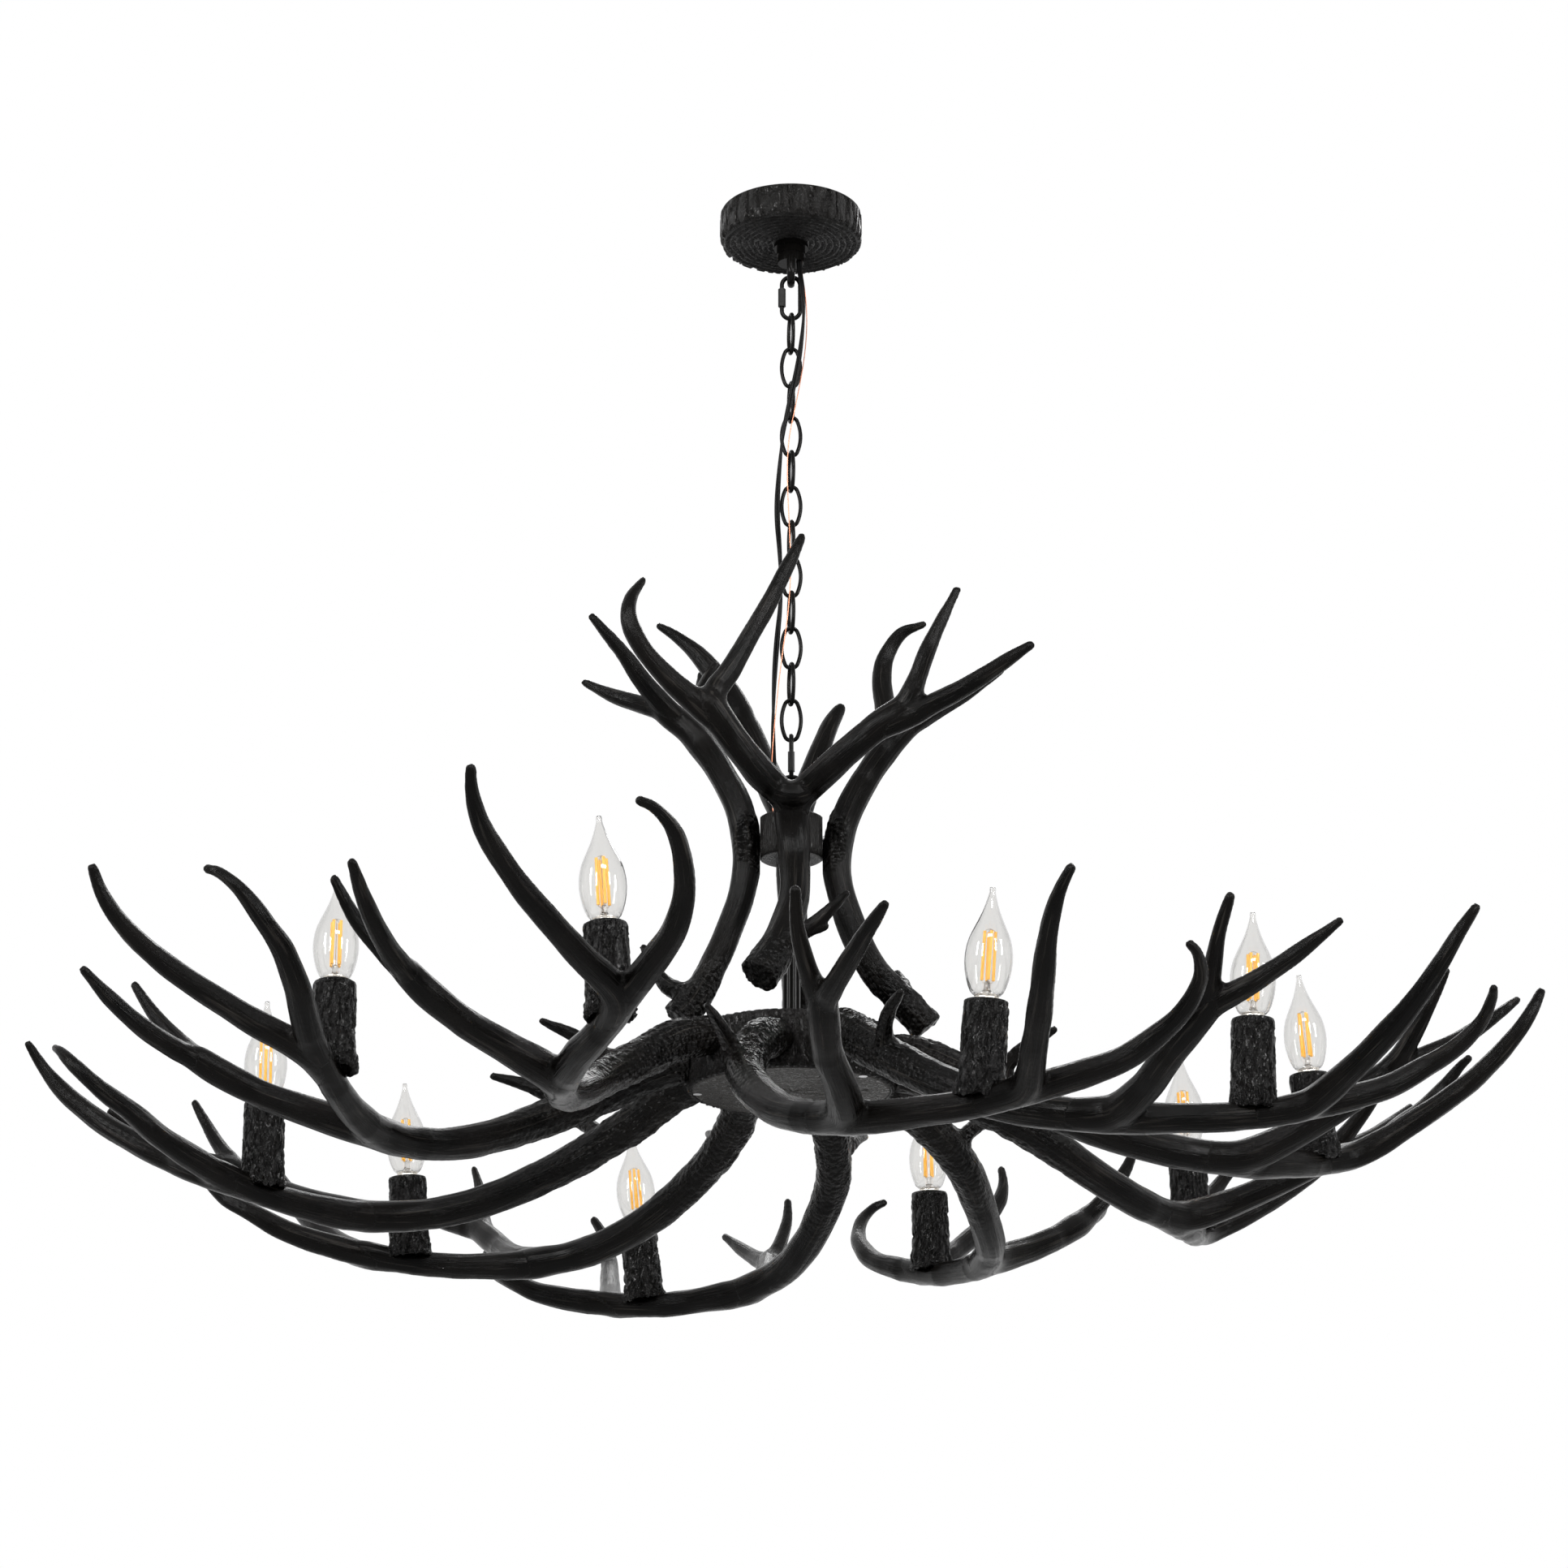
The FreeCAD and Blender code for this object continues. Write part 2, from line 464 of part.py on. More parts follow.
def canopy_loop():
    boss = cylinder(LOOP_BOSS_R, LOOP_BOSS_H, BOSS_BOTTOM)
    overlap = LOOP_BOSS_H / 2
    top = BOSS_BOTTOM + overlap
    legs = [Vector(0, -LOOP_BEND_R, top), Vector(0, -LOOP_BEND_R, LOOP_CENTRE_Z),
            Vector(0, LOOP_BEND_R, LOOP_CENTRE_Z), Vector(0, LOOP_BEND_R, top)]
    bend = Part.Arc(legs[1], Vector(0, 0, LOOP_CENTRE_Z - LOOP_BEND_R), legs[2])
    path = Part.Wire([Part.LineSegment(legs[0], legs[1]).toShape(), bend.toShape(),
                      Part.LineSegment(legs[2], legs[3]).toShape()])
    section = Part.Wire(Part.Circle(legs[0], Vector(0, 0, 1), LOOP_ROD_R).toShape())
    whole = boss.fuse(path.makePipeShell([section], True, True)).removeSplitter()
    for route, radius in ((CORD_ROUTE, CORD_R), (GROUND_ROUTE, GROUND_R)):
        whole = whole.cut(hole_for(route[0], radius, BOSS_BOTTOM, BOSS_BOTTOM + CORD_HOLE_DEPTH))
    return whole


# ------------------------------------------------------ chain and quick links
def quick_link(z, across):
    """A quick link: a ring whose one side is open where its nut bridges it."""
    wire = ring(QUICK_HALF_WIDTH, QUICK_PITCH / 2, QUICK_HALF_WIDTH, QUICK_WIRE_R, "X")
    reach = QUICK_WIRE_R * 2
    gate = Part.makeBox(2 * reach, 2 * reach, QUICK_GATE,
                        Vector(-QUICK_HALF_WIDTH - reach, -reach, -QUICK_GATE / 2))
    wire = wire.cut(gate)
    nut = hexagon(QUICK_NUT_R * math.sqrt(3), QUICK_NUT_LENGTH, -QUICK_NUT_LENGTH / 2)
    nut = nut.cut(cylinder(QUICK_WIRE_R + SLIP_FIT, QUICK_NUT_LENGTH, -QUICK_NUT_LENGTH / 2))
    nut.translate(Vector(-QUICK_HALF_WIDTH, 0, 0))
    for piece in (wire, nut):
        if across == "Y":
            piece.rotate(Vector(0, 0, 0), Vector(0, 0, 1), 180 + 90)
        piece.translate(Vector(0, 0, z))
    return wire, nut


def chain():
    links = []
    for k in range(LINK_COUNT):
        across = "Y" if k % 2 == 0 else "X"
        link = ring(LINK_HALF_WIDTH, LINK_HALF_HEIGHT, LINK_END_R, LINK_WIRE_R, across)
        if across == "Y":
            link.rotate(Vector(0, 0, 0), Vector(0, 0, 1), LINK_TURN)
        link.translate(Vector(0, 0, FIRST_LINK_Z - k * LINK_STEP))
        links.append(link)
    return links


# ---------------------------------------------------------------- stem and hubs
def hanging_eye():
    eye = Part.makeTorus(EYE_R, EYE_WIRE_R, Vector(0, 0, EYE_Z), Vector(0, 1, 0))
    neck = cylinder(EYE_NECK_R, EYE_COLLAR_TOP - UPPER_HUB_TOP, UPPER_HUB_TOP)
    collar = cylinder(EYE_COLLAR_R, EYE_COLLAR_H - EYE_WIRE_R, UPPER_HUB_TOP)
    stud = cylinder(STEM_BORE_R - SLIP_FIT, EYE_STUD_LENGTH, UPPER_HUB_TOP - EYE_STUD_LENGTH)
    return fuse_all([eye, neck, collar, stud])


def stem():
    length = UPPER_HUB_TOP - STEM_BOTTOM
    return cylinder(STEM_R, length, STEM_BOTTOM).cut(cylinder(STEM_BORE_R, length, STEM_BOTTOM))


def stem_nuts():
    nuts = []
    for z in (PLATE_BOTTOM - STEM_NUT_H, DRUM_TOP_Z):
        nut = hexagon(STEM_NUT_FLATS, STEM_NUT_H, z)
        nuts.append(nut.cut(cylinder(STEM_R + SLIP_FIT, STEM_NUT_H, z)))
    return nuts


def trimmed_hub(radius, seat, azimuths, z_low, z_high):
    """A round hub with a flat for each antler."""
    hub = cylinder(radius, z_high - z_low, z_low)
    for azimuth in azimuths:
        hub = hub.common(seat_block(azimuth, seat, z_low - 1, z_high + 1))
    return hub


def upper_hub():
    hub = trimmed_hub(UPPER_HUB_R, UPPER_SEAT, CROWN_AZIMUTHS, UPPER_HUB_BOTTOM, UPPER_HUB_TOP)
    hub = hub.cut(cylinder(STEM_R + SLIP_FIT, UPPER_HUB_H, UPPER_HUB_BOTTOM))
    for azimuth in CROWN_AZIMUTHS:
        hub = hub.cut(radial_pin(azimuth, UPPER_SCREW_R + SLIP_FIT, UPPER_SEAT - UPPER_SCREW_BITE,
                                 UPPER_SEAT, UPPER_SCREW_Z))
    for route, radius in ((CORD_ROUTE, CORD_R), (GROUND_ROUTE, GROUND_R)):
        bottom = UPPER_HUB_TOP - CORD_HOLE_DEPTH
        hub = hub.cut(hole_for(route[-1], radius, bottom, UPPER_HUB_TOP))
    return hub


def lower_drum():
    drum = trimmed_hub(DRUM_R, DRUM_SEAT, BUTT_AZIMUTHS, DRUM_BOTTOM, DRUM_TOP_Z)
    drum = drum.cut(cylinder(DRUM_CAVITY_R, PLATE_BOTTOM - DRUM_BOTTOM, DRUM_BOTTOM))
    drum = drum.cut(cylinder(COVER_R + SLIP_FIT, COVER_T, DRUM_BOTTOM))
    drum = drum.cut(cylinder(STEM_R + SLIP_FIT, DRUM_PLATE, PLATE_BOTTOM))
    for azimuth in BUTT_AZIMUTHS:
        drum = drum.cut(radial_pin(azimuth, BOLT_R + SLIP_FIT, DRUM_CAVITY_R - 1, DRUM_SEAT, BOLT_Z))
        drum = drum.cut(radial_pin(azimuth, BOLT_HEAD_R + 1, DRUM_CAVITY_R - BOLT_HEAD_H,
                                   DRUM_CAVITY_R + 1, BOLT_Z))
    for spot in cover_screw_spots():
        drum = drum.cut(cylinder(COVER_SCREW_R + SLIP_FIT, COVER_SCREW_LENGTH, DRUM_BOTTOM,
                                 spot.x, spot.y))
    return drum


def cover_screw_spots():
    return [outward(angle) * COVER_SCREW_CIRCLE for angle in COVER_SCREW_ANGLES]


def drum_cover():
    cover = cylinder(COVER_R, COVER_T, DRUM_BOTTOM)
    for spot in cover_screw_spots():
        cover = cover.cut(cylinder(COVER_SCREW_R + SLIP_FIT, COVER_T, DRUM_BOTTOM, spot.x, spot.y))
        sink = Part.makeCone(COVER_SCREW_HEAD_R, COVER_SCREW_R + SLIP_FIT,
                             COVER_SCREW_HEAD_R - COVER_SCREW_R, spot + Vector(0, 0, DRUM_BOTTOM))
        cover = cover.cut(sink)
    return cover


def cover_screws():
    screws = []
    for spot in cover_screw_spots():
        head = Part.makeCone(COVER_SCREW_HEAD_R - SLIP_FIT, COVER_SCREW_R,
                             COVER_SCREW_HEAD_R - COVER_SCREW_R, spot + Vector(0, 0, DRUM_BOTTOM))
        shank = cylinder(COVER_SCREW_R, COVER_SCREW_LENGTH, DRUM_BOTTOM, spot.x, spot.y)
        screws.append(head.fuse(shank).removeSplitter())
    return screws


def terminal_block():
    length, depth, height = TERMINAL_SIZE
    corner = Vector(-length / 2, TERMINAL_OFFSET - depth / 2, PLATE_BOTTOM - height)
    return Part.makeBox(length, depth, height, corner)


def lower_bolts():
    bolts = []
    for azimuth in BUTT_AZIMUTHS:
        head = radial_pin(azimuth, BOLT_HEAD_R, DRUM_CAVITY_R + 1 - BOLT_HEAD_H, DRUM_CAVITY_R + 1,
                          BOLT_Z)
        shank = radial_pin(azimuth, BOLT_R, DRUM_CAVITY_R, DRUM_SEAT + BOLT_BITE, BOLT_Z)
        bolts.append(head.fuse(shank).removeSplitter())
    return bolts


# ---------------------------------------------------------------- antlers
def place_lower(shape, index):
    """Turn a piece from the lower antler's own frame to its place."""
    roll, pitch, yaw, lift = LOWER_POSES[index]
    azimuth = FIRST_LAMP_AZIMUTH - LAMP_STEP * index + yaw
    piece = shape.copy()
    piece.rotate(Vector(0, 0, 0), Vector(1, 0, 0), roll)
    piece.rotate(Vector(0, 0, 0), Vector(0, 1, 0), -pitch)
    piece.rotate(Vector(0, 0, 0), Vector(0, 0, 1), azimuth - 90)
    piece.translate(Vector(0, 0, LAMP_PLANE_Z + lift))
    return piece


def lower_casting():
    horn = fuse_all([tine(points) for points in LOWER_BRANCHES])
    return horn.cut(cylinder(HOLDER_POST_R + SLIP_FIT, -POST_HOLE_Z, POST_HOLE_Z, LAMP_RADIUS, 0))


def lower_antler(casting, index):
    azimuth = BUTT_AZIMUTHS[index]
    horn = place_lower(casting, index)
    horn = horn.cut(seat_block(azimuth, DRUM_SEAT, DRUM_BOTTOM - 60, DRUM_TOP_Z + 60))
    return horn.cut(radial_pin(azimuth, BOLT_R + SLIP_FIT, DRUM_SEAT - 1,
                               DRUM_SEAT + BOLT_BITE + SLIP_FIT, BOLT_Z))


def crown_antler(branches, azimuth):
    horn = fuse_all([tine(points) for points in branches])
    horn = horn.cut(seat_block(azimuth, UPPER_SEAT, UPPER_HUB_BOTTOM - 8, UPPER_HUB_TOP + 8))
    head_seat = UPPER_SEAT + CROWN_GRIP
    horn = horn.cut(radial_pin(azimuth, UPPER_SCREW_R + SLIP_FIT, UPPER_SEAT - 1, head_seat + 1,
                               UPPER_SCREW_Z))
    return horn.cut(radial_pin(azimuth, UPPER_SCREW_HEAD_R + SLIP_FIT, head_seat, head_seat + 30,
                               UPPER_SCREW_Z))


def crown_screws():
    screws = []
    for azimuth in CROWN_AZIMUTHS:
        head_seat = UPPER_SEAT + CROWN_GRIP
        shank = radial_pin(azimuth, UPPER_SCREW_R, UPPER_SEAT - UPPER_SCREW_BITE + SLIP_FIT,
                           head_seat + 1, UPPER_SCREW_Z)
        head = radial_pin(azimuth, UPPER_SCREW_HEAD_R, head_seat, head_seat + UPPER_SCREW_HEAD_H,
                          UPPER_SCREW_Z)
        screws.append(head.fuse(shank).removeSplitter())
    return screws


# ---------------------------------------------------------------- candle lamps
def candle_sleeve():
    """A bark tube with a flared foot that sits astride the antler under it."""
    lip = -SLEEVE_LENGTH
    bottom = Vector(LAMP_RADIUS, 0, lip)
    body = Part.makeCone(SLEEVE_R, SLEEVE_TOP_R, SLEEVE_LENGTH - FOOT_WIDEST,
                         Vector(LAMP_RADIUS, 0, lip + FOOT_WIDEST))
    flare = Part.makeCone(FOOT_R, SLEEVE_R, FOOT_TOP - FOOT_WIDEST,
                          Vector(LAMP_RADIUS, 0, lip + FOOT_WIDEST))
    skirt = Part.makeCone(FOOT_R - 2, FOOT_R, FOOT_WIDEST, bottom)
    whole = fuse_all([body, flare, skirt])
    whole = whole.cut(cylinder(SLEEVE_BORE_R, SLEEVE_LENGTH, lip, LAMP_RADIUS, 0))
    for branch in (LAMP_BEAM, LONG_TINE, END_TINE):
        whole = whole.cut(tine(branch, SEAT_GAP, False))
    return whole


def lamp_holder():
    top = -HOLDER_BELOW_RIM
    body = cylinder(HOLDER_R, HOLDER_H, top - HOLDER_H, LAMP_RADIUS, 0)
    post = cylinder(HOLDER_POST_R, top - HOLDER_H + 1 - POST_HOLE_Z, POST_HOLE_Z, LAMP_RADIUS, 0)
    socket = cylinder(CAP_R + SEAT_GAP, CAP_BELOW_RIM - HOLDER_BELOW_RIM + SEAT_GAP,
                      -CAP_BELOW_RIM - SEAT_GAP, LAMP_RADIUS, 0)
    return post.fuse(body).removeSplitter().cut(socket)


def glass_envelope():
    """The blown glass, turned from its outline, hollow and closed at the tip."""
    outer = [Vector(radius, 0, z) for z, radius in GLASS_PROFILE]
    inner = [Vector(max(radius - GLASS_WALL, 0.5), 0, z) for z, radius in GLASS_PROFILE[:-1]]
    top = GLASS_PROFILE[-1][0]
    tip = Vector(0, 0, top + GLASS_PROFILE[-1][1])
    roof = Vector(0, 0, top)
    outside = Part.BSplineCurve()
    outside.interpolate(outer)
    inside = Part.BSplineCurve()
    inside.interpolate(inner)
    edges = [outside.toShape(), Part.LineSegment(outer[-1], tip).toShape(),
             Part.LineSegment(tip, roof).toShape(), Part.LineSegment(roof, inner[-1]).toShape(),
             inside.toShape(), Part.LineSegment(inner[0], outer[0]).toShape()]
    face = Part.Face(Part.Wire(Part.__sortEdges__(edges)))
    return face.revolve(Vector(0, 0, 0), Vector(0, 0, 1), 360)


def bulb():
    skirt_z = CAP_SKIRT_ABOVE_RIM - CAP_SKIRT_H
    screw_cap = cylinder(CAP_R, CAP_BELOW_RIM + skirt_z, -CAP_BELOW_RIM)
    skirt = cylinder(CAP_SKIRT_R, CAP_SKIRT_H, skirt_z)
    cap = screw_cap.fuse(skirt).removeSplitter()
    solids = [glass_envelope(), cap]
    for solid in solids:
        solid.translate(Vector(LAMP_RADIUS, 0, 0))
    return Part.makeCompound(solids)


# ---------------------------------------------------------------- the whole part
BUTT_AZIMUTHS = [FIRST_LAMP_AZIMUTH - LAMP_STEP * k + BUTT_AZIMUTH for k in range(LAMP_COUNT)]
CROWN_AZIMUTHS = (0, -90, 90, 180)
CROWN_GRIP = 16.0             # antler left under the head of a crown screw
CROWN = (("front", FRONT_CROWN), ("left", LEFT_CROWN), ("right", RIGHT_CROWN),
         ("back", BACK_CROWN))

os.makedirs("parts", exist_ok=True)

save("ceiling_bracket", [ceiling_bracket()])
save("ground_screw", [ground_screw()])
save("threaded_nipple", [threaded_nipple()])
save("locknut", [locknut()])
save("canopy", [canopy()])
save("collar_nut", [collar_nut()])
save("canopy_loop", [canopy_loop()])
top_wire, top_nut = quick_link(TOP_LINK_Z, "X")
save("top_quick_link", [top_wire])
save("top_link_nut", [top_nut])
save("chain", chain())
bottom_wire, bottom_nut = quick_link(BOTTOM_LINK_Z, "Y")
save("bottom_quick_link", [bottom_wire])
save("bottom_link_nut", [bottom_nut])
save("hanging_eye", [hanging_eye()])
save("stem", [stem()])
save("stem_nuts", stem_nuts())
save("upper_hub", [upper_hub()])
save("crown_screws", crown_screws())
save("lower_drum", [lower_drum()])
save("antler_bolts", lower_bolts())
save("drum_cover", [drum_cover()])
save("cover_screws", cover_screws())
save("terminal_block", [terminal_block()])

for (side, branches), azimuth in zip(CROWN, CROWN_AZIMUTHS):
    save("crown_antler_" + side, [crown_antler(branches, azimuth)])

casting = lower_casting()
sleeve = candle_sleeve()
lamp = bulb()
socket = lamp_holder()
holders = []
for index in range(LAMP_COUNT):
    number = "_%02d" % (index + 1)
    save("lower_antler" + number, [lower_antler(casting, index)])
    save("candle_sleeve" + number, [place_lower(sleeve, index)])
    save("bulb" + number, [place_lower(lamp, index)])
    holders.append(place_lower(socket, index))
save("lamp_holders", holders)

save("supply_cord", [cord_tube(CORD_ROUTE, CORD_R, "supply cord")])
save("ground_wire", [cord_tube(GROUND_ROUTE, GROUND_R, "ground wire")])
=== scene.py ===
import json
import math

import bpy
import numpy as np
from mathutils import Matrix, Vector, noise


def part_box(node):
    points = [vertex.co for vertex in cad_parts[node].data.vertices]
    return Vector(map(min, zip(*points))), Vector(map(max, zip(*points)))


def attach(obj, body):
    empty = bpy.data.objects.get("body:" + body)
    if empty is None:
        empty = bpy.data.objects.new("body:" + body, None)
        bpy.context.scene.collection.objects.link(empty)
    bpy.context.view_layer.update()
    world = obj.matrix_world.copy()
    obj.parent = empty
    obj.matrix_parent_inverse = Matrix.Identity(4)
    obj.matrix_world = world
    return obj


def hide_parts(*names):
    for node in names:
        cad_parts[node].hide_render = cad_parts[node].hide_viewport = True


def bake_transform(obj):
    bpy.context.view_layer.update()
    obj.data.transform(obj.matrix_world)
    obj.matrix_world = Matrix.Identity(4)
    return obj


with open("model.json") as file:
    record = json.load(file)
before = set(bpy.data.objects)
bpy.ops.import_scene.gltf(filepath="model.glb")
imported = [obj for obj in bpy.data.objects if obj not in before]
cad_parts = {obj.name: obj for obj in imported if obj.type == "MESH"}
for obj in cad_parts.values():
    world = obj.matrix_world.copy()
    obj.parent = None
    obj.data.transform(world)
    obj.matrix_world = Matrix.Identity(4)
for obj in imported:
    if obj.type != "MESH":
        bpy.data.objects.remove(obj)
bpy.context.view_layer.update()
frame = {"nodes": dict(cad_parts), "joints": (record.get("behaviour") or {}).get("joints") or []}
nodes = frame["nodes"]

# ------------------------------------------------------------------ the view
# The photograph looks up at the chandelier from in front and below, through a
# long lens, on a white ground.
bpy.ops.object.select_all(action="DESELECT")
bpy.ops.object.camera_add(location=(-0.0061, -3.175, -1.578), rotation=(math.radians(108.34), 0, 0))
camera = bpy.context.object
camera.data.sensor_width = 36
camera.data.lens = 91.9
camera.data.clip_end = 60
bpy.context.scene.camera = camera
bpy.context.scene.view_settings.view_transform = "Standard"

# ------------------------------------------------------------------ cords
# A black twin flex and a bare copper earth wire leave the canopy's loop, wander
# down the chain and go into the upper hub.
FLEX_ROUTE = ((0.007, -0.004, -0.044), (0.0073, -0.0044, -0.056), (0.010, -0.009, -0.073),
              (0.0114, -0.0104, -0.096), (0.0095, -0.011, -0.122), (0.006, -0.014, -0.150),
              (0.0, -0.016, -0.180), (-0.007, -0.0134, -0.212), (-0.0104, -0.0084, -0.246),
              (-0.0126, -0.0026, -0.282), (-0.0094, 0.006, -0.318), (-0.0084, 0.0092, -0.356),
              (-0.012, 0.0046, -0.394), (-0.0144, -0.0006, -0.432), (-0.0154, -0.0014, -0.470),
              (-0.015, 0.0034, -0.502), (-0.0138, 0.0096, -0.528), (-0.0131, 0.0128, -0.546),
              (-0.013, 0.013, -0.557))
EARTH_ROUTE = ((0.009, 0.0024, -0.044), (0.0096, 0.0028, -0.055), (0.0128, 0.0034, -0.075),
               (0.0139, 0.0014, -0.100), (0.0129, -0.0042, -0.126), (0.0098, -0.011, -0.154),
               (0.004, -0.0164, -0.188), (-0.0028, -0.0156, -0.222), (-0.0034, -0.014, -0.258),
               (-0.0016, -0.0146, -0.298), (0.0, -0.0142, -0.338), (-0.0026, -0.0136, -0.380),
               (-0.009, -0.0106, -0.424), (-0.0136, -0.0084, -0.470), (-0.0164, -0.0082, -0.506),
               (-0.016, -0.0088, -0.534), (-0.0151, -0.009, -0.556))
CORD_TOP = -0.050           # a height below the loop's boss
BEND_REACH = 0.09           # how far into the chain the cords are cut
FLEX_STRAND_R = 0.0013
FLEX_SPREAD = 0.00115
FLEX_TURN = 26.0            # radians of twist per metre
EARTH_STRAND_R = 0.00042


def route_line(route):
    """Points along the smooth line that a cord's route steers."""
    curve = bpy.data.curves.new("route", "CURVE")
    curve.dimensions = "3D"
    curve.resolution_u = 12
    spline = curve.splines.new("NURBS")
    spline.points.add(len(route) - 1)
    for spot, point in zip(spline.points, route):
        spot.co = (*point, 1)
    spline.order_u = 3
    spline.use_endpoint_u = True
    holder = bpy.data.objects.new("route", curve)
    bpy.context.collection.objects.link(holder)
    mesh = bpy.data.meshes.new_from_object(holder)
    line = [vertex.co.copy() for vertex in mesh.vertices]
    bpy.data.objects.remove(holder)
    bpy.data.meshes.remove(mesh)
    return line


def tubes(name, lines, bevel_resolution):
    """Round tubes along lines of (point, radius), as one mesh."""
    curve = bpy.data.curves.new(name, "CURVE")
    curve.dimensions = "3D"
    curve.bevel_depth = 1.0
    curve.bevel_resolution = bevel_resolution
    curve.use_fill_caps = True
    for line in lines:
        spline = curve.splines.new("POLY")
        spline.points.add(len(line) - 1)
        for spot, (point, radius) in zip(spline.points, line):
            spot.co = (*point, 1)
            spot.radius = radius
    piece = bpy.data.objects.new(name, curve)
    bpy.context.collection.objects.link(piece)
    pick(piece)
    bpy.ops.object.convert(target="MESH")
    return bpy.context.object


def pick(piece):
    bpy.ops.object.select_all(action="DESELECT")
    piece.select_set(True)
    bpy.context.view_layer.objects.active = piece


def joint_height(name):
    return next(j["pos_m"][2] for j in frame["joints"] if j["name"] == name)


def cord_pieces(name, node, line, strands, material):
    """Cut a cord at the joints it passes."""
    heights = [joint_height(j) for j in ("top_link_swing", "chain_swing", "bottom_link_swing",
                                         "chandelier_swing")]
    cuts = [1.0, (heights[0] + heights[1]) / 2, heights[1] - BEND_REACH,
            heights[2] + BEND_REACH, (heights[2] + heights[3]) / 2, -2.0]
    owners = [("ceiling", "top_link", CORD_TOP), ("top_link", "chain", cuts[1]), ("chain", None, 0),
              ("chain", "bottom_link", cuts[3]), ("bottom_link", "chandelier", cuts[4])]
    for k, (upper, lower, start) in enumerate(owners):
        span = [i for i, p in enumerate(line) if cuts[k + 1] <= p.z <= cuts[k]]
        first = max(span[0] - 1, 0)
        last = span[-1] + 1
        piece = tubes(f"{name}_{k + 1}", [strand[first:last + 1] for strand in strands], 2)
        piece.data.materials.append(material)
        bpy.ops.object.shade_smooth()
        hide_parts(node)
        if lower is None:
            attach(piece, upper)
        else:
            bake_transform(piece)


def add(tree, kind, links=(), **values):
    """A shader node with its settings, its socket values and what feeds it."""
    node = tree.nodes.new(kind)
    for name, value in values.items():
        setattr(node, name, value)
    for socket, source in links:
        if hasattr(source, "is_output"):
            tree.links.new(source, node.inputs[socket])
        else:
            node.inputs[socket].default_value = source
    return node


def new_finish(name, gleam=0.5):
    """A new material, its node tree and its surface shader."""
    material = bpy.data.materials.new(name)
    material.use_nodes = True
    shader = material.node_tree.nodes["Principled BSDF"]
    shader.inputs["Specular IOR Level"].default_value = gleam
    return material, material.node_tree, shader


def two_tones(tree, share, *tones):
    """A colour that runs from one tone to the other as share goes from 0 to 1."""
    mix = add(tree, "ShaderNodeMix", [("Factor", share)], data_type="RGBA")
    for socket, tone in zip((6, 7), tones):
        if hasattr(tone, "is_output"):
            tree.links.new(tone, mix.inputs[socket])
        else:
            mix.inputs[socket].default_value = (*tone, 1)
    return mix.outputs[2]


def spread(tree, value, low, high, start=0.0, end=1.0):
    """A value that goes from low to high as the one it follows goes from start to end."""
    return add(tree, "ShaderNodeMapRange", [("Value", value), ("From Min", start), ("From Max", end),
                                            ("To Min", low), ("To Max", high)]).outputs["Result"]


def emboss(tree, shader, height, strength, depth):
    bump = add(tree, "ShaderNodeBump", [("Height", height), ("Strength", strength),
                                        ("Distance", depth)])
    tree.links.new(bump.outputs["Normal"], shader.inputs["Normal"])


def simple_material(name, colour, rough, metal=0.0, grime=0.25, grain=300.0, gleam=0.5):
    """A finish whose colour and gloss vary a little over the surface."""
    material, tree, shader = new_finish(name, gleam)
    shader.inputs["Metallic"].default_value = metal
    where = add(tree, "ShaderNodeTexCoord")
    cloud = add(tree, "ShaderNodeTexNoise", [("Vector", where.outputs["Object"]),
                                             ("Scale", grain), ("Detail", 4.0)])
    dark = [c * (1 - grime) for c in colour]
    bright = [min(1.0, c * (1 + grime)) for c in colour]
    tree.links.new(two_tones(tree, cloud.outputs["Fac"], dark, bright),
                   shader.inputs["Base Color"])
    tree.links.new(spread(tree, cloud.outputs["Fac"], rough * 0.8, rough * 1.25),
                   shader.inputs["Roughness"])
    emboss(tree, shader, cloud.outputs["Fac"], 0.15, 0.0003)
    return material


flex_line = route_line(FLEX_ROUTE)
strands = [[], []]
along = 0.0
for k, point in enumerate(flex_line):
    along += (point - flex_line[k - 1]).length if k else 0.0
    side = Vector((math.cos(FLEX_TURN * along), math.sin(FLEX_TURN * along), 0)) * FLEX_SPREAD
    strands[0].append((point + side, FLEX_STRAND_R))
    strands[1].append((point - side, FLEX_STRAND_R))
flex_finish = simple_material("black_flex", (0.003, 0.003, 0.003), 0.34, gleam=0.08)
cord_pieces("flex", "supply_cord", flex_line, strands, flex_finish)
earth_line = route_line(EARTH_ROUTE)
copper_finish = simple_material("bare_copper", (0.50, 0.20, 0.12), 0.36, 1.0)
cord_pieces("earth", "ground_wire", earth_line, [[(p, EARTH_STRAND_R) for p in earth_line]],
            copper_finish)

# ------------------------------------------------------------------ the room
# A plain pale floor that fades into a white surround, and soft boxes round the
# object as in a studio. From below the floor is clear.
FLOOR_Z = -2.6
FADE_FROM = 1.5             # the floor turns white between these distances
FADE_TO = 6.0
AIM = (0, 0, -0.75)


def reckon(tree, operation, *values, **settings):
    """One step of arithmetic on values that change over the surface."""
    return add(tree, "ShaderNodeMath", enumerate(values), operation=operation,
               **settings).outputs[0]


def looked_at(tree):
    """1 for what is seen, straight or in metal and glass, and 0 for what lights."""
    ray = add(tree, "ShaderNodeLightPath")
    seen = ray.outputs["Is Camera Ray"]
    for kind in ("Is Glossy Ray", "Is Transmission Ray"):
        seen = reckon(tree, "MAXIMUM", seen, ray.outputs[kind])
    return seen


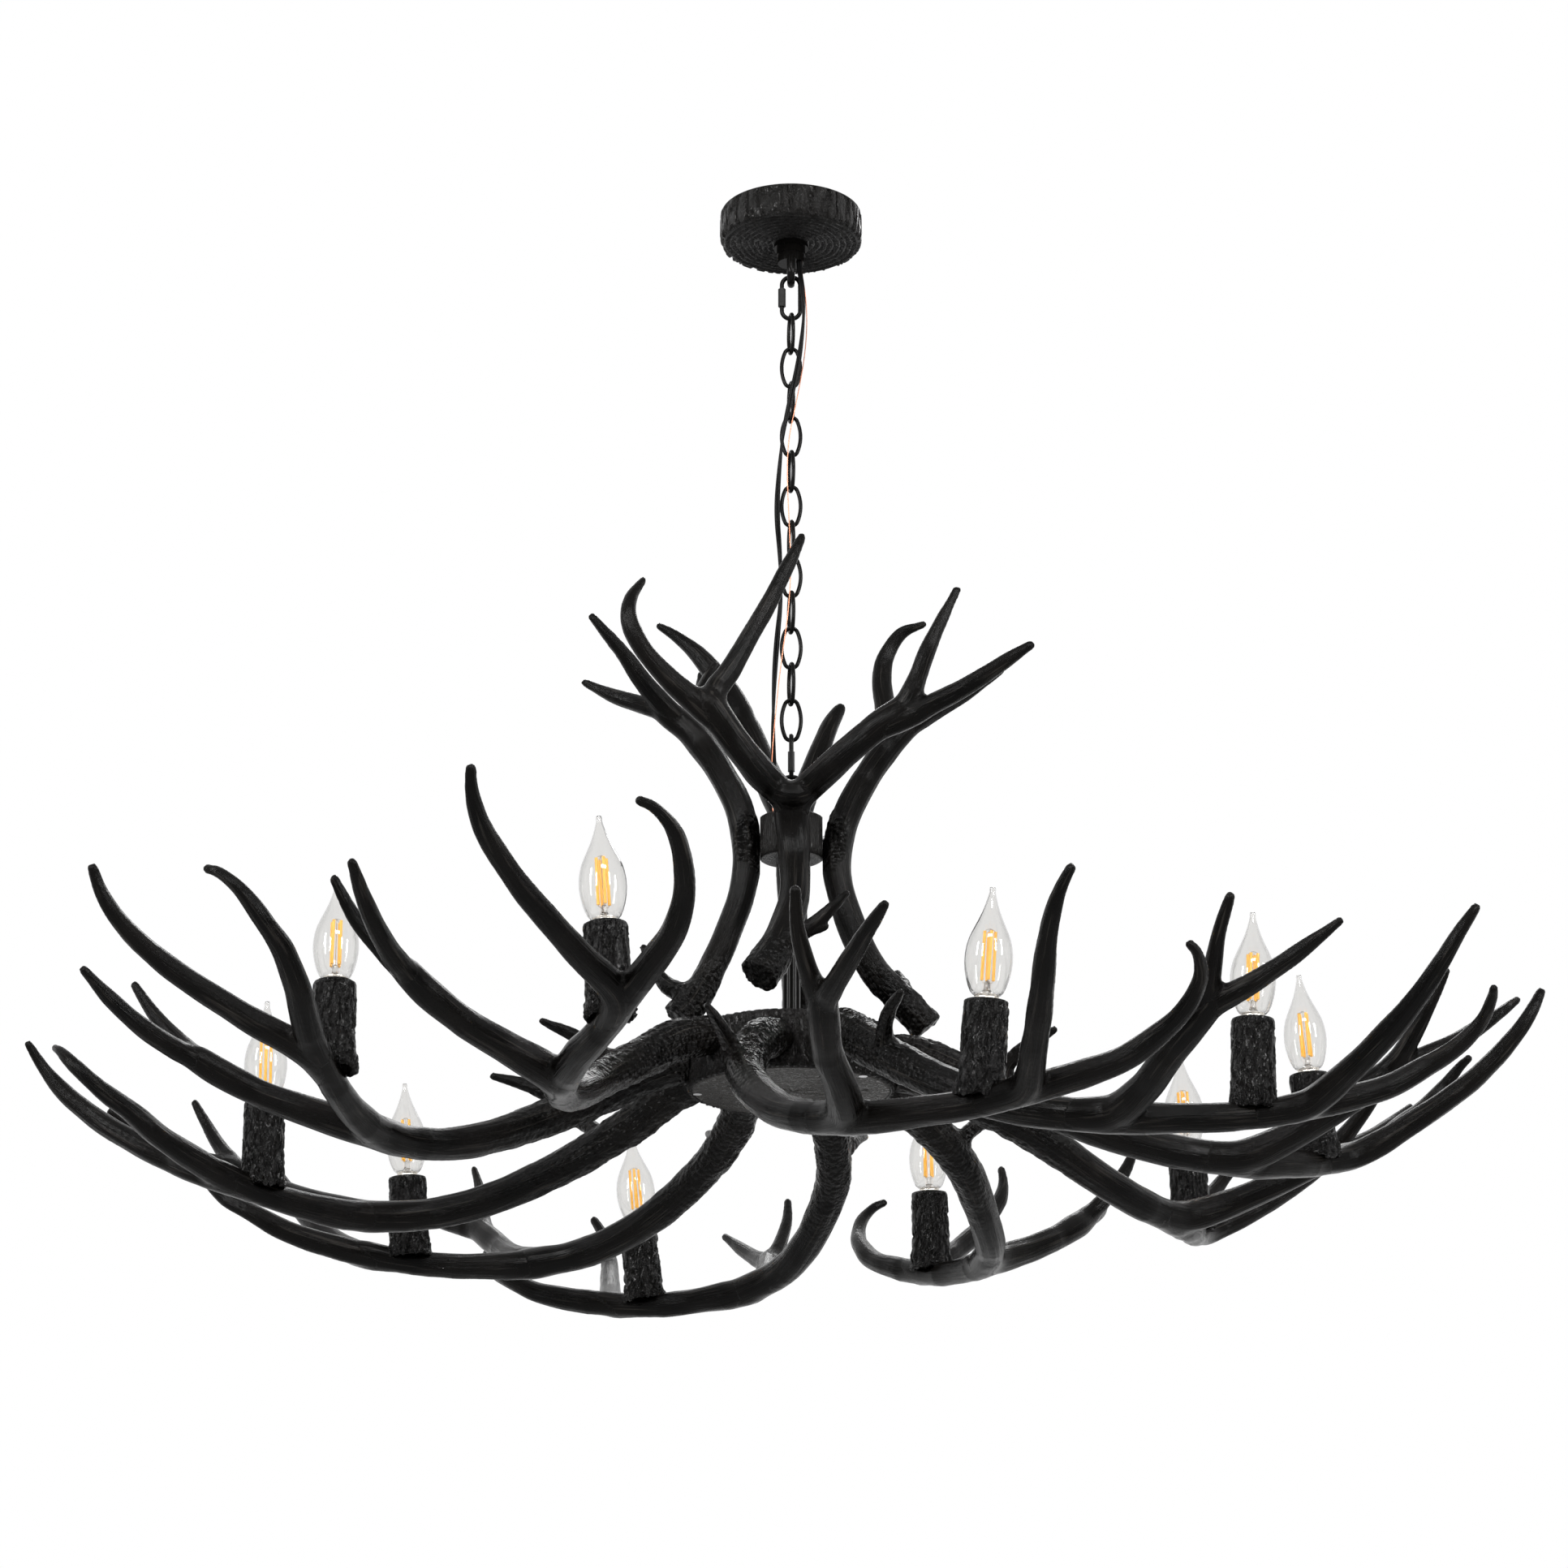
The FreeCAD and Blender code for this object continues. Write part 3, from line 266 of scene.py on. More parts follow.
bpy.ops.mesh.primitive_plane_add(size=200, location=(0, 0, FLOOR_Z))
floor = bpy.context.object
floor.name = "floor"
floor_finish, tree, shader = new_finish("pale_floor")
shader.inputs["Roughness"].default_value = 0.9
where = add(tree, "ShaderNodeTexCoord")
cloud = add(tree, "ShaderNodeTexNoise", [("Vector", where.outputs["Object"]), ("Scale", 1.5)])
tree.links.new(two_tones(tree, cloud.outputs["Fac"], (0.84, 0.84, 0.84), (0.87, 0.87, 0.87)),
               shader.inputs["Base Color"])
side = add(tree, "ShaderNodeNewGeometry")
clear = add(tree, "ShaderNodeBsdfTransparent")
away = add(tree, "ShaderNodeVectorMath", [(0, where.outputs["Object"])], operation="LENGTH")
far = add(tree, "ShaderNodeMapRange", [("Value", away.outputs["Value"]), ("From Min", FADE_FROM),
                                       ("From Max", FADE_TO)], interpolation_type="SMOOTHSTEP")
shown = reckon(tree, "MULTIPLY", looked_at(tree), far.outputs["Result"])
white = add(tree, "ShaderNodeEmission", [("Color", (1, 1, 1, 1)), ("Strength", 1.0)])
ground = add(tree, "ShaderNodeMixShader", [(0, shown), (1, shader.outputs[0]),
                                           (2, white.outputs[0])])
both = add(tree, "ShaderNodeMixShader", [(0, side.outputs["Backfacing"]),
                                         (1, ground.outputs[0]), (2, clear.outputs[0])])
tree.links.new(both.outputs[0], tree.nodes["Material Output"].inputs["Surface"])
floor.data.materials.append(floor_finish)

world = bpy.context.scene.world or bpy.data.worlds.new("studio")
bpy.context.scene.world = world
world.use_nodes = True
tree = world.node_tree
tree.nodes.clear()
sky = add(tree, "ShaderNodeBackground", [("Color", (1, 1, 1, 1)),
                                         ("Strength", spread(tree, looked_at(tree), 0.5, 1.0))])
add(tree, "ShaderNodeOutputWorld", [("Surface", sky.outputs[0])])


def soft_box(name, place, aim, width, height, watts):
    bpy.ops.object.light_add(type="AREA", location=place)
    lamp = bpy.context.object
    lamp.name = name
    lamp.data.shape = "RECTANGLE"
    lamp.data.size = width
    lamp.data.size_y = height
    lamp.data.energy = watts
    lamp.rotation_euler = (Vector(aim) - Vector(place)).to_track_quat("-Z", "Y").to_euler()


soft_box("left_box", (-2.6, -1.9, 0.6), AIM, 0.45, 1.2, 56)
soft_box("left_front_box", (-1.5, -2.9, 0.3), AIM, 0.38, 1.2, 42)
soft_box("right_front_box", (1.6, -2.9, 0.6), AIM, 0.38, 1.2, 42)
soft_box("right_box", (2.7, -1.7, 0.3), AIM, 0.45, 1.2, 56)
soft_box("high_box", (0.2, -2.6, 1.4), (0, 0, -0.8), 1.2, 0.35, 32)
soft_box("back_box", (0.4, 2.6, 1.2), (0, 0, -0.7), 1.6, 0.4, 12)

# ------------------------------------------------------------------ turned forms
# The canopy is a cast resin cup like a slice of trunk: rough bark round its rim,
# growth rings underneath, hollow above for the wire splices.
RING_STEP = 0.0052          # from one growth ring to the next
RING_DEPTH = 0.0009
CANOPY_BARK = 0.0022
CANOPY_PROFILE = [(0.0056 + 0.00085 * k, -0.0290) for k in range(62)]
CANOPY_PROFILE += [(0.0594, -0.0288), (0.0606, -0.0280), (0.0614, -0.0268), (0.0618, -0.0250),
                   (0.0620, -0.0225), (0.0621, -0.0200), (0.0621, -0.0175), (0.0621, -0.0150),
                   (0.0621, -0.0125), (0.0621, -0.0100), (0.0621, -0.0075), (0.0620, -0.0050),
                   (0.0619, -0.0030), (0.0617, -0.0010), (0.0611, 0.0), (0.0590, 0.0),
                   (0.0585, -0.0010), (0.0585, -0.0200), (0.0580, -0.0250), (0.0300, -0.0250),
                   (0.0056, -0.0250)]


def turned(name, profile, segments, closed=True, refine=0):
    """A profile of (radius, height) spun about the vertical axis."""
    mesh = bpy.data.meshes.new(name)
    count = len(profile)
    edges = [(k, k + 1) for k in range(count - 1)]
    if closed:
        edges.append((count - 1, 0))
    mesh.from_pydata([(r, 0, z) for r, z in profile], edges, [])
    piece = bpy.data.objects.new(name, mesh)
    bpy.context.collection.objects.link(piece)
    pick(piece)
    bpy.ops.object.mode_set(mode="EDIT")
    bpy.ops.mesh.select_all(action="SELECT")
    if refine:
        bpy.ops.mesh.subdivide(number_cuts=refine)
        bpy.ops.mesh.select_all(action="SELECT")
    bpy.ops.mesh.spin(steps=segments, angle=2 * math.pi, center=(0, 0, 0), axis=(0, 0, 1))
    bpy.ops.mesh.select_all(action="SELECT")
    bpy.ops.mesh.remove_doubles(threshold=0.00002)
    bpy.ops.mesh.normals_make_consistent(inside=False)
    bpy.ops.object.mode_set(mode="OBJECT")
    return piece


def read_points(piece):
    count = len(piece.data.vertices)
    places = np.empty(count * 3)
    normals = np.empty(count * 3)
    piece.data.vertices.foreach_get("co", places)
    piece.data.vertices.foreach_get("normal", normals)
    return places.reshape(-1, 3), normals.reshape(-1, 3)


def write_points(piece, places):
    piece.data.vertices.foreach_set("co", places.ravel())
    piece.data.update()


def roughen(piece, lift):
    """Push each point along its normal by lift(x, y, z), in metres."""
    places, normals = read_points(piece)
    push = np.array([lift(x, y, z) for x, y, z in places])
    write_points(piece, places + normals * push[:, None])


def around_z(x, y, radius):
    reach = math.hypot(x, y) or 1e-9
    return Vector((x / reach * radius, y / reach * radius, 0))


def coat(piece, material, crease):
    """Give a piece its finish, smooth but for edges sharper than crease degrees."""
    piece.data.materials.append(material)
    pick(piece)
    bpy.ops.object.shade_smooth_by_angle(angle=math.radians(crease))


def bark_ridge(x, y, z, girth, width, run, seed):
    """Upright plates of bark: 0 in the cracks between them, 1 on a plate."""
    spot = around_z(x, y, girth / width)
    spot.z = z / run + seed
    wide = noise.noise(spot)
    spot = spot * 2.3
    fine = noise.noise(spot)
    return min(1.0, 3.6 * abs(wide + 0.45 * fine))


def bark_group():
    """Bark seen close: plates parted by thin cracks, as a height, and grit."""
    group = bpy.data.node_groups.new("bark_cracks", "ShaderNodeTree")
    for name, way in (("Width", "INPUT"), ("Run", "INPUT"), ("Height", "OUTPUT"), ("Grit", "OUTPUT")):
        group.interface.new_socket(name, in_out=way, socket_type="NodeSocketFloat")
    start = add(group, "NodeGroupInput")
    where = add(group, "ShaderNodeTexCoord")
    squeeze = add(group, "ShaderNodeCombineXYZ", [("X", start.outputs["Width"]),
                                                  ("Y", start.outputs["Width"]),
                                                  ("Z", start.outputs["Run"])])
    spot = add(group, "ShaderNodeVectorMath", [(0, where.outputs["Object"]),
                                               (1, squeeze.outputs[0])], operation="MULTIPLY")
    cracks = add(group, "ShaderNodeTexNoise", [("Vector", spot.outputs[0]), ("Scale", 1.0),
                                               ("Detail", 4.0), ("Roughness", 0.55),
                                               ("Distortion", 0.6)])
    apart = reckon(group, "ABSOLUTE", reckon(group, "SUBTRACT", cracks.outputs["Fac"], 0.5))
    plates = reckon(group, "MULTIPLY", apart, 8.0, use_clamp=True)
    grit = add(group, "ShaderNodeTexNoise", [("Vector", where.outputs["Object"]),
                                             ("Scale", 480.0), ("Detail", 4.0)])
    height = reckon(group, "MULTIPLY_ADD", grit.outputs["Fac"], 0.22, plates)
    add(group, "NodeGroupOutput", [("Height", height), ("Grit", grit.outputs["Fac"])])
    return group


cracks_group = bark_group()


def bark_material(name, dark, pale, rough, width, run, strength, depth=0.0012, gleam=0.09):
    """Near-black glossy resin cast from bark."""
    material, tree, shader = new_finish(name, gleam)
    bark = add(tree, "ShaderNodeGroup", node_tree=cracks_group)
    bark.inputs["Width"].default_value = width
    bark.inputs["Run"].default_value = run
    tree.links.new(two_tones(tree, bark.outputs["Grit"], dark, pale), shader.inputs["Base Color"])
    tree.links.new(spread(tree, bark.outputs["Height"], rough * 1.6, rough * 0.8, 0.2, 1.1),
                   shader.inputs["Roughness"])
    emboss(tree, shader, bark.outputs["Height"], strength, depth)
    return material


canopy = turned("canopy_slice", CANOPY_PROFILE, 280)


def canopy_lift(x, y, z):
    reach = math.hypot(x, y)
    if reach > 0.0605 and z < -0.0005:
        return CANOPY_BARK * bark_ridge(x, y, z, 0.062, 0.0075, 0.030, 3.0) - 0.0021
    if z < -0.0275 and reach > 0.016:
        wander = 0.0022 * noise.noise(around_z(x, y, 2.2) + Vector((0, 0, reach * 30)))
        return RING_DEPTH * (math.cos((reach + wander) * 2 * math.pi / RING_STEP) - 1)
    return 0.0


roughen(canopy, canopy_lift)
bark_finish = bark_material("bark_black", (0.0010, 0.0009, 0.0008), (0.0080, 0.0070, 0.0062), 0.17,
                            260.0, 90.0, 1.0, 0.0014, 0.15)
coat(canopy, bark_finish, 50)
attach(canopy, "ceiling")
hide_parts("canopy")

# ------------------------------------------------------------------ metalwork
# The bracket, nipple, nuts, loop, quick links, chain, eye, stem and screws are
# steel. What hangs in sight is coated near black, what is hidden is zinc.
dark_steel = simple_material("dark_coated_steel", (0.003, 0.0028, 0.0026), 0.18, 0.0, 0.3, 120.0,
                             gleam=0.07)
zinc = simple_material("zinc_plate", (0.55, 0.55, 0.56), 0.35, 1.0, 0.12, 240.0)
moulded_black = simple_material("moulded_black", (0.010, 0.010, 0.010), 0.42, gleam=0.3)
moulded_white = simple_material("moulded_white", (0.72, 0.71, 0.68), 0.45, 0.0, 0.05)


def dress(names, material):
    """Give CAD nodes that are shown as they are a finish of their own."""
    for name in names:
        piece = nodes[name]
        piece.data.materials.clear()
        piece.data.materials.append(material)


dress(("collar_nut", "canopy_loop", "top_quick_link", "top_link_nut", "chain", "bottom_quick_link",
       "bottom_link_nut", "hanging_eye", "stem", "stem_nuts"), dark_steel)
dress(("ceiling_bracket", "ground_screw", "threaded_nipple", "locknut", "antler_bolts",
       "crown_screws", "cover_screws"), zinc)
dress(("lamp_holders",), moulded_black)
dress(("terminal_block",), moulded_white)

# ------------------------------------------------------------------ upper hub
# A short round block on the stem, barked round its side and smooth below, that
# the four crown antlers are screwed to.
HUB_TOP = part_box("upper_hub")[1][2]
HUB_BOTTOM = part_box("upper_hub")[0][2]
HUB_FLAT = 0.0259
hub = turned("upper_hub_block", ((0.0073, HUB_BOTTOM), (0.018, HUB_BOTTOM), (0.0250, HUB_BOTTOM),
                                 (0.0268, HUB_BOTTOM + 0.0012), (0.0276, HUB_BOTTOM + 0.005),
                                 (0.0276, HUB_BOTTOM + 0.018), (0.0276, HUB_TOP - 0.005),
                                 (0.0268, HUB_TOP - 0.0012), (0.0250, HUB_TOP),
                                 (0.0073, HUB_TOP)), 160, refine=2)
roughen(hub, lambda x, y, z: (0.0007 * bark_ridge(x, y, z, 0.027, 0.0030, 0.030, 8.0) - 0.0006
                              if math.hypot(x, y) > 0.0262 else 0.0))
places, normals = read_points(hub)
places[:, :2] = np.clip(places[:, :2], -HUB_FLAT, HUB_FLAT)
write_points(hub, places)
hub_finish = bark_material("hub_bark", (0.0030, 0.0028, 0.0026), (0.014, 0.013, 0.012), 0.24,
                           500.0, 60.0, 0.4)
coat(hub, hub_finish, 50)
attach(hub, "chandelier")
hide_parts("upper_hub")

# ------------------------------------------------------------------ lower drum
# A low drum like a slice of trunk, grooved all round its side, with a beaded
# lower lip.
DRUM_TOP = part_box("lower_drum")[1][2]
DRUM_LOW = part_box("lower_drum")[0][2]
DRUM_SIDE = 0.0843
DRUM_RING_STEP = 0.0060
LIP_BEADS = 118
drum = turned("drum_slice", ((0.0073, DRUM_TOP - 0.0002), (0.030, DRUM_TOP - 0.0003),
                             (0.055, DRUM_TOP - 0.0003),
                             (0.0760, DRUM_TOP), (0.0825, DRUM_TOP - 0.0005),
                             (DRUM_SIDE, DRUM_TOP - 0.003), (DRUM_SIDE, DRUM_TOP - 0.012),
                             (DRUM_SIDE, DRUM_TOP - 0.024), (DRUM_SIDE, DRUM_LOW + 0.013),
                             (DRUM_SIDE, DRUM_LOW + 0.006), (0.0853, DRUM_LOW + 0.0035),
                             (0.0845, DRUM_LOW + 0.0005), (0.0825, DRUM_LOW),
                             (0.0811, DRUM_LOW + 0.0005), (0.0811, DRUM_LOW + 0.006),
                             (0.0720, DRUM_LOW + 0.006), (0.0720, DRUM_TOP - 0.008),
                             (0.0073, DRUM_TOP - 0.008)), 300, refine=1)


def drum_lift(x, y, z):
    reach = math.hypot(x, y)
    if reach < 0.0822:
        if z > DRUM_TOP - 0.002 and reach > 0.016:
            return 0.0004 * (math.cos(reach * 2 * math.pi / DRUM_RING_STEP
                                      + 4 * noise.noise(around_z(x, y, 1.5))) - 1)
        return 0.0
    if z < DRUM_LOW + 0.0055:
        beads = math.cos(math.atan2(y, x) * LIP_BEADS)
        return 0.0009 * beads - 0.0006
    return 0.0010 * bark_ridge(x, y, z, 0.086, 0.0034, 0.060, 1.0) - 0.0009


roughen(drum, drum_lift)
coat(drum, bark_finish, 55)
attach(drum, "chandelier")
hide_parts("lower_drum")

# The cover closes the drum from below: end grain with checks that run in to the
# middle, a few worm holes, and four countersunk screws.
COVER_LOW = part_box("drum_cover")[0][2]
COVER_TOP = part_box("drum_cover")[1][2]
cover_profile = [(0.0, COVER_LOW)] + [(0.0045 * k, COVER_LOW) for k in range(1, 18)]
cover_profile += [(0.0800, COVER_LOW), (0.0808, COVER_LOW + 0.0008), (0.0808, COVER_TOP),
                  (0.0, COVER_TOP)]
cover = turned("cover_slice", cover_profile, 240, closed=False, refine=1)
HOLES = ((0.043, 0.030, 0.0026), (-0.036, 0.042, 0.0022), (-0.050, -0.018, 0.0028),
         (0.024, -0.052, 0.0022), (0.060, -0.006, 0.0024), (-0.012, 0.062, 0.0020),
         (0.052, 0.016, 0.0016), (-0.058, 0.022, 0.0018))


def cover_lift(x, y, z):
    if z > COVER_LOW + 0.0006:
        return 0.0
    reach = math.hypot(x, y)
    pits = sum(math.exp(-((x - hx) ** 2 + (y - hy) ** 2) / (hr * hr)) for hx, hy, hr in HOLES)
    spokes = max(0.0, noise.noise(around_z(x, y, 7.5) + Vector((0, 0, reach * 12))))
    fade = max(0.0, 1 - reach / 0.062)
    grain = 0.5 + 0.5 * noise.noise(Vector((x * 30, y * 420, 5.0)))
    return -0.0016 * min(pits, 1.0) - 0.0013 * spokes * fade - 0.0004 * grain * (1 - fade)


roughen(cover, cover_lift)
cover_finish = bark_material("end_grain", (0.0040, 0.0036, 0.0032), (0.020, 0.0175, 0.015), 0.30,
                             240.0, 240.0, 0.25)
coat(cover, cover_finish, 50)
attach(cover, "chandelier")
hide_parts("drum_cover")

# ------------------------------------------------------------------ antlers
# Every antler is cast in dark resin from a real one: lengthwise furrows, webbed
# crotches, and rough pearling towards the butt. A branch is a list of points
# (x, y, z, radius), in millimetres.
TIP_SHARE = 0.55            # how far a tip's round end reaches, in its radii
VOXEL = 0.0021
LINE_STEPS = 6
WEB_ROUNDS = 34


def centreline(points):
    """A smooth line through a branch's points, as rows of x, y, z, radius."""
    line = np.array(points, float)
    line = np.vstack([2 * line[0] - line[1], line, 2 * line[-1] - line[-2]])
    rows = []
    for k in range(1, len(line) - 2):
        a, b, c, d = line[k - 1:k + 3]
        for step in range(LINE_STEPS):
            t = step / LINE_STEPS
            rows.append(0.5 * (2 * b + (c - a) * t + (2 * a - 5 * b + 4 * c - d) * t * t
                               + (3 * b - a - 3 * c + d) * t ** 3))
    rows.append(line[-2])
    return np.array(rows) * 0.001


def grown(name, branches):
    """One smooth solid from branches that run into each other."""
    lines = [centreline(points) for points in branches]
    sweeps = []
    for rows in lines:
        sweep = [(tuple(row[:3]), row[3]) for row in rows]
        aim = rows[-1, :3] - rows[-2, :3]
        aim = aim / np.linalg.norm(aim)
        tip = rows[-1, :3] + aim * rows[-1, 3] * TIP_SHARE
        sweep.append((tuple(tip), rows[-1, 3] * 0.6))
        sweeps.append(sweep)
    piece = tubes(name, sweeps, 5)
    fuse = piece.modifiers.new("fuse", "REMESH")
    fuse.mode = "VOXEL"
    fuse.voxel_size = VOXEL
    bpy.ops.object.modifier_apply(modifier="fuse")
    ease = piece.modifiers.new("ease", "SMOOTH")
    ease.factor = 0.5
    ease.iterations = 5
    bpy.ops.object.modifier_apply(modifier="ease")
    return piece, lines


def follow(places, lines):
    """Where each point lies on its nearest branch: the grain's own coordinates,
    and how close two branches come there."""
    count = len(places)
    best = np.full(count, 1e9)
    second = np.full(count, 1e9)
    grain = np.zeros((count, 3))
    for index, rows in enumerate(lines):
        spots = rows[:, :3]
        steps = np.diff(spots, axis=0)
        length = np.linalg.norm(steps, axis=1)
        so_far = np.concatenate([[0], np.cumsum(length)])
        side = np.cross(steps[0], (0.3, 0.2, 1.0))
        sides = []
        for step in steps:
            side = side - step * side.dot(step) / step.dot(step)
            side = side / np.linalg.norm(side)
            sides.append(side)
        sides = np.array(sides)
        reach = np.full(count, 1e9)
        own = np.zeros((count, 3))
        for k, step in enumerate(steps):
            offset = places - spots[k]
            t = np.clip(offset @ step / length[k] ** 2, 0, 1)
            away = offset - t[:, None] * step
            radius = rows[k, 3] + t * (rows[k + 1, 3] - rows[k, 3])
            share = np.linalg.norm(away, axis=1) / radius
            closer = share < reach
            reach[closer] = share[closer]
            across = np.cross(step / length[k], sides[k])
            own[closer] = np.stack([away @ sides[k], away @ across,
                                    so_far[k] + t * length[k]], axis=1)[closer]
        nearer = reach < best
        second = np.where(nearer, best, np.minimum(second, reach))
        best = np.where(nearer, reach, best)
        grain[nearer] = own[nearer] + np.array([0, 0, index * 1.7])
    crotch = np.clip(1 - (second - best) / 0.60, 0, 1)
    return grain, crotch


def web_crotches(piece, crotch):
    """Fill the crotches with the webbing that a real antler has."""
    group = piece.vertex_groups.new(name="crotch")
    for index in np.nonzero(crotch > 0.02)[0]:
        group.add([int(index)], float(crotch[index]), "REPLACE")
    pick(piece)
    web = piece.modifiers.new("web", "SMOOTH")
    web.factor = 0.5
    web.iterations = WEB_ROUNDS
    web.vertex_group = "crotch"
    bpy.ops.object.modifier_apply(modifier="web")
    piece.vertex_groups.clear()


def carve(places, normals, grain, crotch, bark, seed):
    """Furrows along the grain, slow lumps, and pearling where bark is 1."""
    push = np.zeros(len(places))
    for k, (spot, own) in enumerate(zip(places, grain)):
        slow = noise.noise(Vector(spot) * 38 + Vector((seed, 0, 0)))
        lane = Vector((own[0] * 150, own[1] * 150, own[2] * 9 + seed))
        furrow = max(0.0, noise.noise(lane))
        push[k] = 0.0008 * slow - 0.0015 * furrow * (1 - 0.7 * crotch[k])
        if bark[k] > 0.01:
            pearl = noise.noise(Vector((own[0] * 180, own[1] * 180, own[2] * 90 + seed)))
            fine = noise.noise(Vector(spot) * 300)
            push[k] += bark[k] * (0.0015 * pearl + 0.0006 * fine)
    return places + normals * push[:, None]


def mark(piece, grain, crotch, bark):
    """Keep the grain's coordinates on the mesh, for the material."""
    data = piece.data.attributes.new("grain", "FLOAT_VECTOR", "POINT")
    data.data.foreach_set("vector", grain.astype(np.float32).ravel())
    for name, values in (("crotch", crotch), ("bark", bark)):
        data = piece.data.attributes.new(name, "FLOAT", "POINT")
        data.data.foreach_set("value", values.astype(np.float32))


def horn_grain_group():
    """Long fine furrows that follow the grain, and slow blotches."""
    group = bpy.data.node_groups.new("horn_grain", "ShaderNodeTree")
    for name in ("Furrows", "Hairlines", "Blotch", "Pearling"):
        group.interface.new_socket(name, in_out="OUTPUT", socket_type="NodeSocketFloat")
    own = add(group, "ShaderNodeAttribute", attribute_name="grain")
    where = add(group, "ShaderNodeTexCoord")
    wide = add(group, "ShaderNodeVectorMath", [(0, own.outputs["Vector"]),
                                               (1, (330.0, 330.0, 14.0))], operation="MULTIPLY")
    furrows = add(group, "ShaderNodeTexNoise", [("Vector", wide.outputs[0]), ("Scale", 1.0),
                                                ("Detail", 3.0), ("Roughness", 0.55)])
    thin = add(group, "ShaderNodeVectorMath", [(0, own.outputs["Vector"]),
                                               (1, (900.0, 900.0, 40.0))], operation="MULTIPLY")
    hair = add(group, "ShaderNodeTexNoise", [("Vector", thin.outputs[0]), ("Scale", 1.0),
                                             ("Detail", 4.0), ("Roughness", 0.6)])
    blotch = add(group, "ShaderNodeTexNoise", [("Vector", where.outputs["Object"]),
                                               ("Scale", 22.0), ("Detail", 5.0)])
    pearls = add(group, "ShaderNodeTexVoronoi", [("Vector", where.outputs["Object"]),
                                                 ("Scale", 230.0)])
    add(group, "NodeGroupOutput", [("Furrows", furrows.outputs["Fac"]),
                                   ("Hairlines", hair.outputs["Fac"]),
                                   ("Blotch", blotch.outputs["Fac"]),
                                   ("Pearling", pearls.outputs["Distance"])])
    return group


def horn_material():
    """Glossy resin, near black, a little browner and paler on the raised ridges, where highlight
    streaks are painted into the colour.
    """
    material, tree, shader = new_finish("dark_antler", 0.065)
    grain = add(tree, "ShaderNodeGroup", node_tree=horn_grain_group())
    bark = add(tree, "ShaderNodeAttribute", attribute_name="bark")
    crotch = add(tree, "ShaderNodeAttribute", attribute_name="crotch")
    tint = add(tree, "ShaderNodeValToRGB", [("Fac", grain.outputs["Blotch"])])
    stops = tint.color_ramp.elements
    stops[0].position = 0.36
    stops[0].color = (0.0010, 0.0009, 0.0008, 1)
    stops[1].position = 0.70
    stops[1].color = (0.0034, 0.0029, 0.0025, 1)
    # The paler, browner tone on the ridges is a painted highlight: streaks of sheen along the grain.
    ridge_highlight = spread(tree, grain.outputs["Furrows"], 0.0, 1.0, 0.58, 0.80)
    tree.links.new(two_tones(tree, ridge_highlight, tint.outputs["Color"], (0.024, 0.0215, 0.019)),
                   shader.inputs["Base Color"])
    tree.links.new(spread(tree, grain.outputs["Hairlines"], 0.13, 0.27, 0.3, 0.7),
                   shader.inputs["Roughness"])
    lines = reckon(tree, "MULTIPLY_ADD", grain.outputs["Hairlines"], 0.6, grain.outputs["Furrows"])
    lines = reckon(tree, "MULTIPLY", lines, spread(tree, crotch.outputs["Fac"], 1.0, 0.35))
    rough = reckon(tree, "MULTIPLY", grain.outputs["Pearling"], bark.outputs["Fac"])
    height = reckon(tree, "MULTIPLY_ADD", rough, -2.0, lines)
    emboss(tree, shader, height, 0.9, 0.0010)
    return material


horn_finish = horn_material()

# Ten lower antlers come from one mould: a beam that swings out from the drum, a
# brow tine, a fork of two, and past the lamp a long tine and an end tine.
BEAM = ((66, -38, 28, 16.5), (100, -62, 17, 17.0), (130, -81, -2, 16.5), (177, -96, -28, 15.5),
        (225, -97, -52, 14.5), (270, -93, -69, 13.8), (312, -84, -78, 13.8), (352, -67, -82, 14.0))
LAMP_BEAM = ((312, -84, -78, 13.0), (352, -66, -82, 13.5), (392, -37, -80, 12.0),
             (428, -3, -75, 11.5), (462, 28, -64, 12.0))
LONG_TINE = ((428, -3, -75, 11.0), (464, 18, -66, 11.8), (506, 7, -47, 10.4), (552, -8, -20, 9.4),
             (578, -17, 0, 8.4), (599, -23, 20, 7.2), (614, -24, 39, 5.6), (625, -20, 56, 4.2))
END_TINE = ((428, -3, -75, 11.0), (466, 33, -63, 11.5), (500, 73, -46, 10.0), (524, 93, -28, 8.8),
            (546, 102, -13, 7.6), (566, 104, 5, 6.2), (579, 96, 19, 4.8), (586, 86, 25, 3.8))
FORK_STEM = ((312, -84, -79, 13.0), (352, -76, -79, 14.0), (388, -92, -68, 12.6),
             (421, -114, -53, 11.6), (452, -130, -36, 12.2), (472, -138, -24, 11.0))
FORK_INNER = ((430, -118, -48, 10.0), (464, -138, -26, 9.8), (481, -155, -4, 7.4),
              (494, -168, 18, 5.8), (508, -176, 42, 3.8))
FORK_OUTER = ((430, -120, -48, 10.0), (470, -136, -27, 9.6), (510, -139, -12, 8.2),
              (544, -137, 6, 6.6), (573, -133, 25, 3.8))
BROW_TINE = ((160, -94, -20, 9.0), (163, -106, -3, 7.6), (178, -121, 9, 6.0), (200, -139, 18, 3.6))
LAMP_COUNT = 10
LAMP_STEP = 360.0 / LAMP_COUNT
FIRST_LAMP_AZIMUTH = -17.5
LAMP_PLANE_Z = -0.790
LAMP_RADIUS = 0.428
BUTT_AZIMUTH = -29.0
DRUM_SEAT = 0.0845
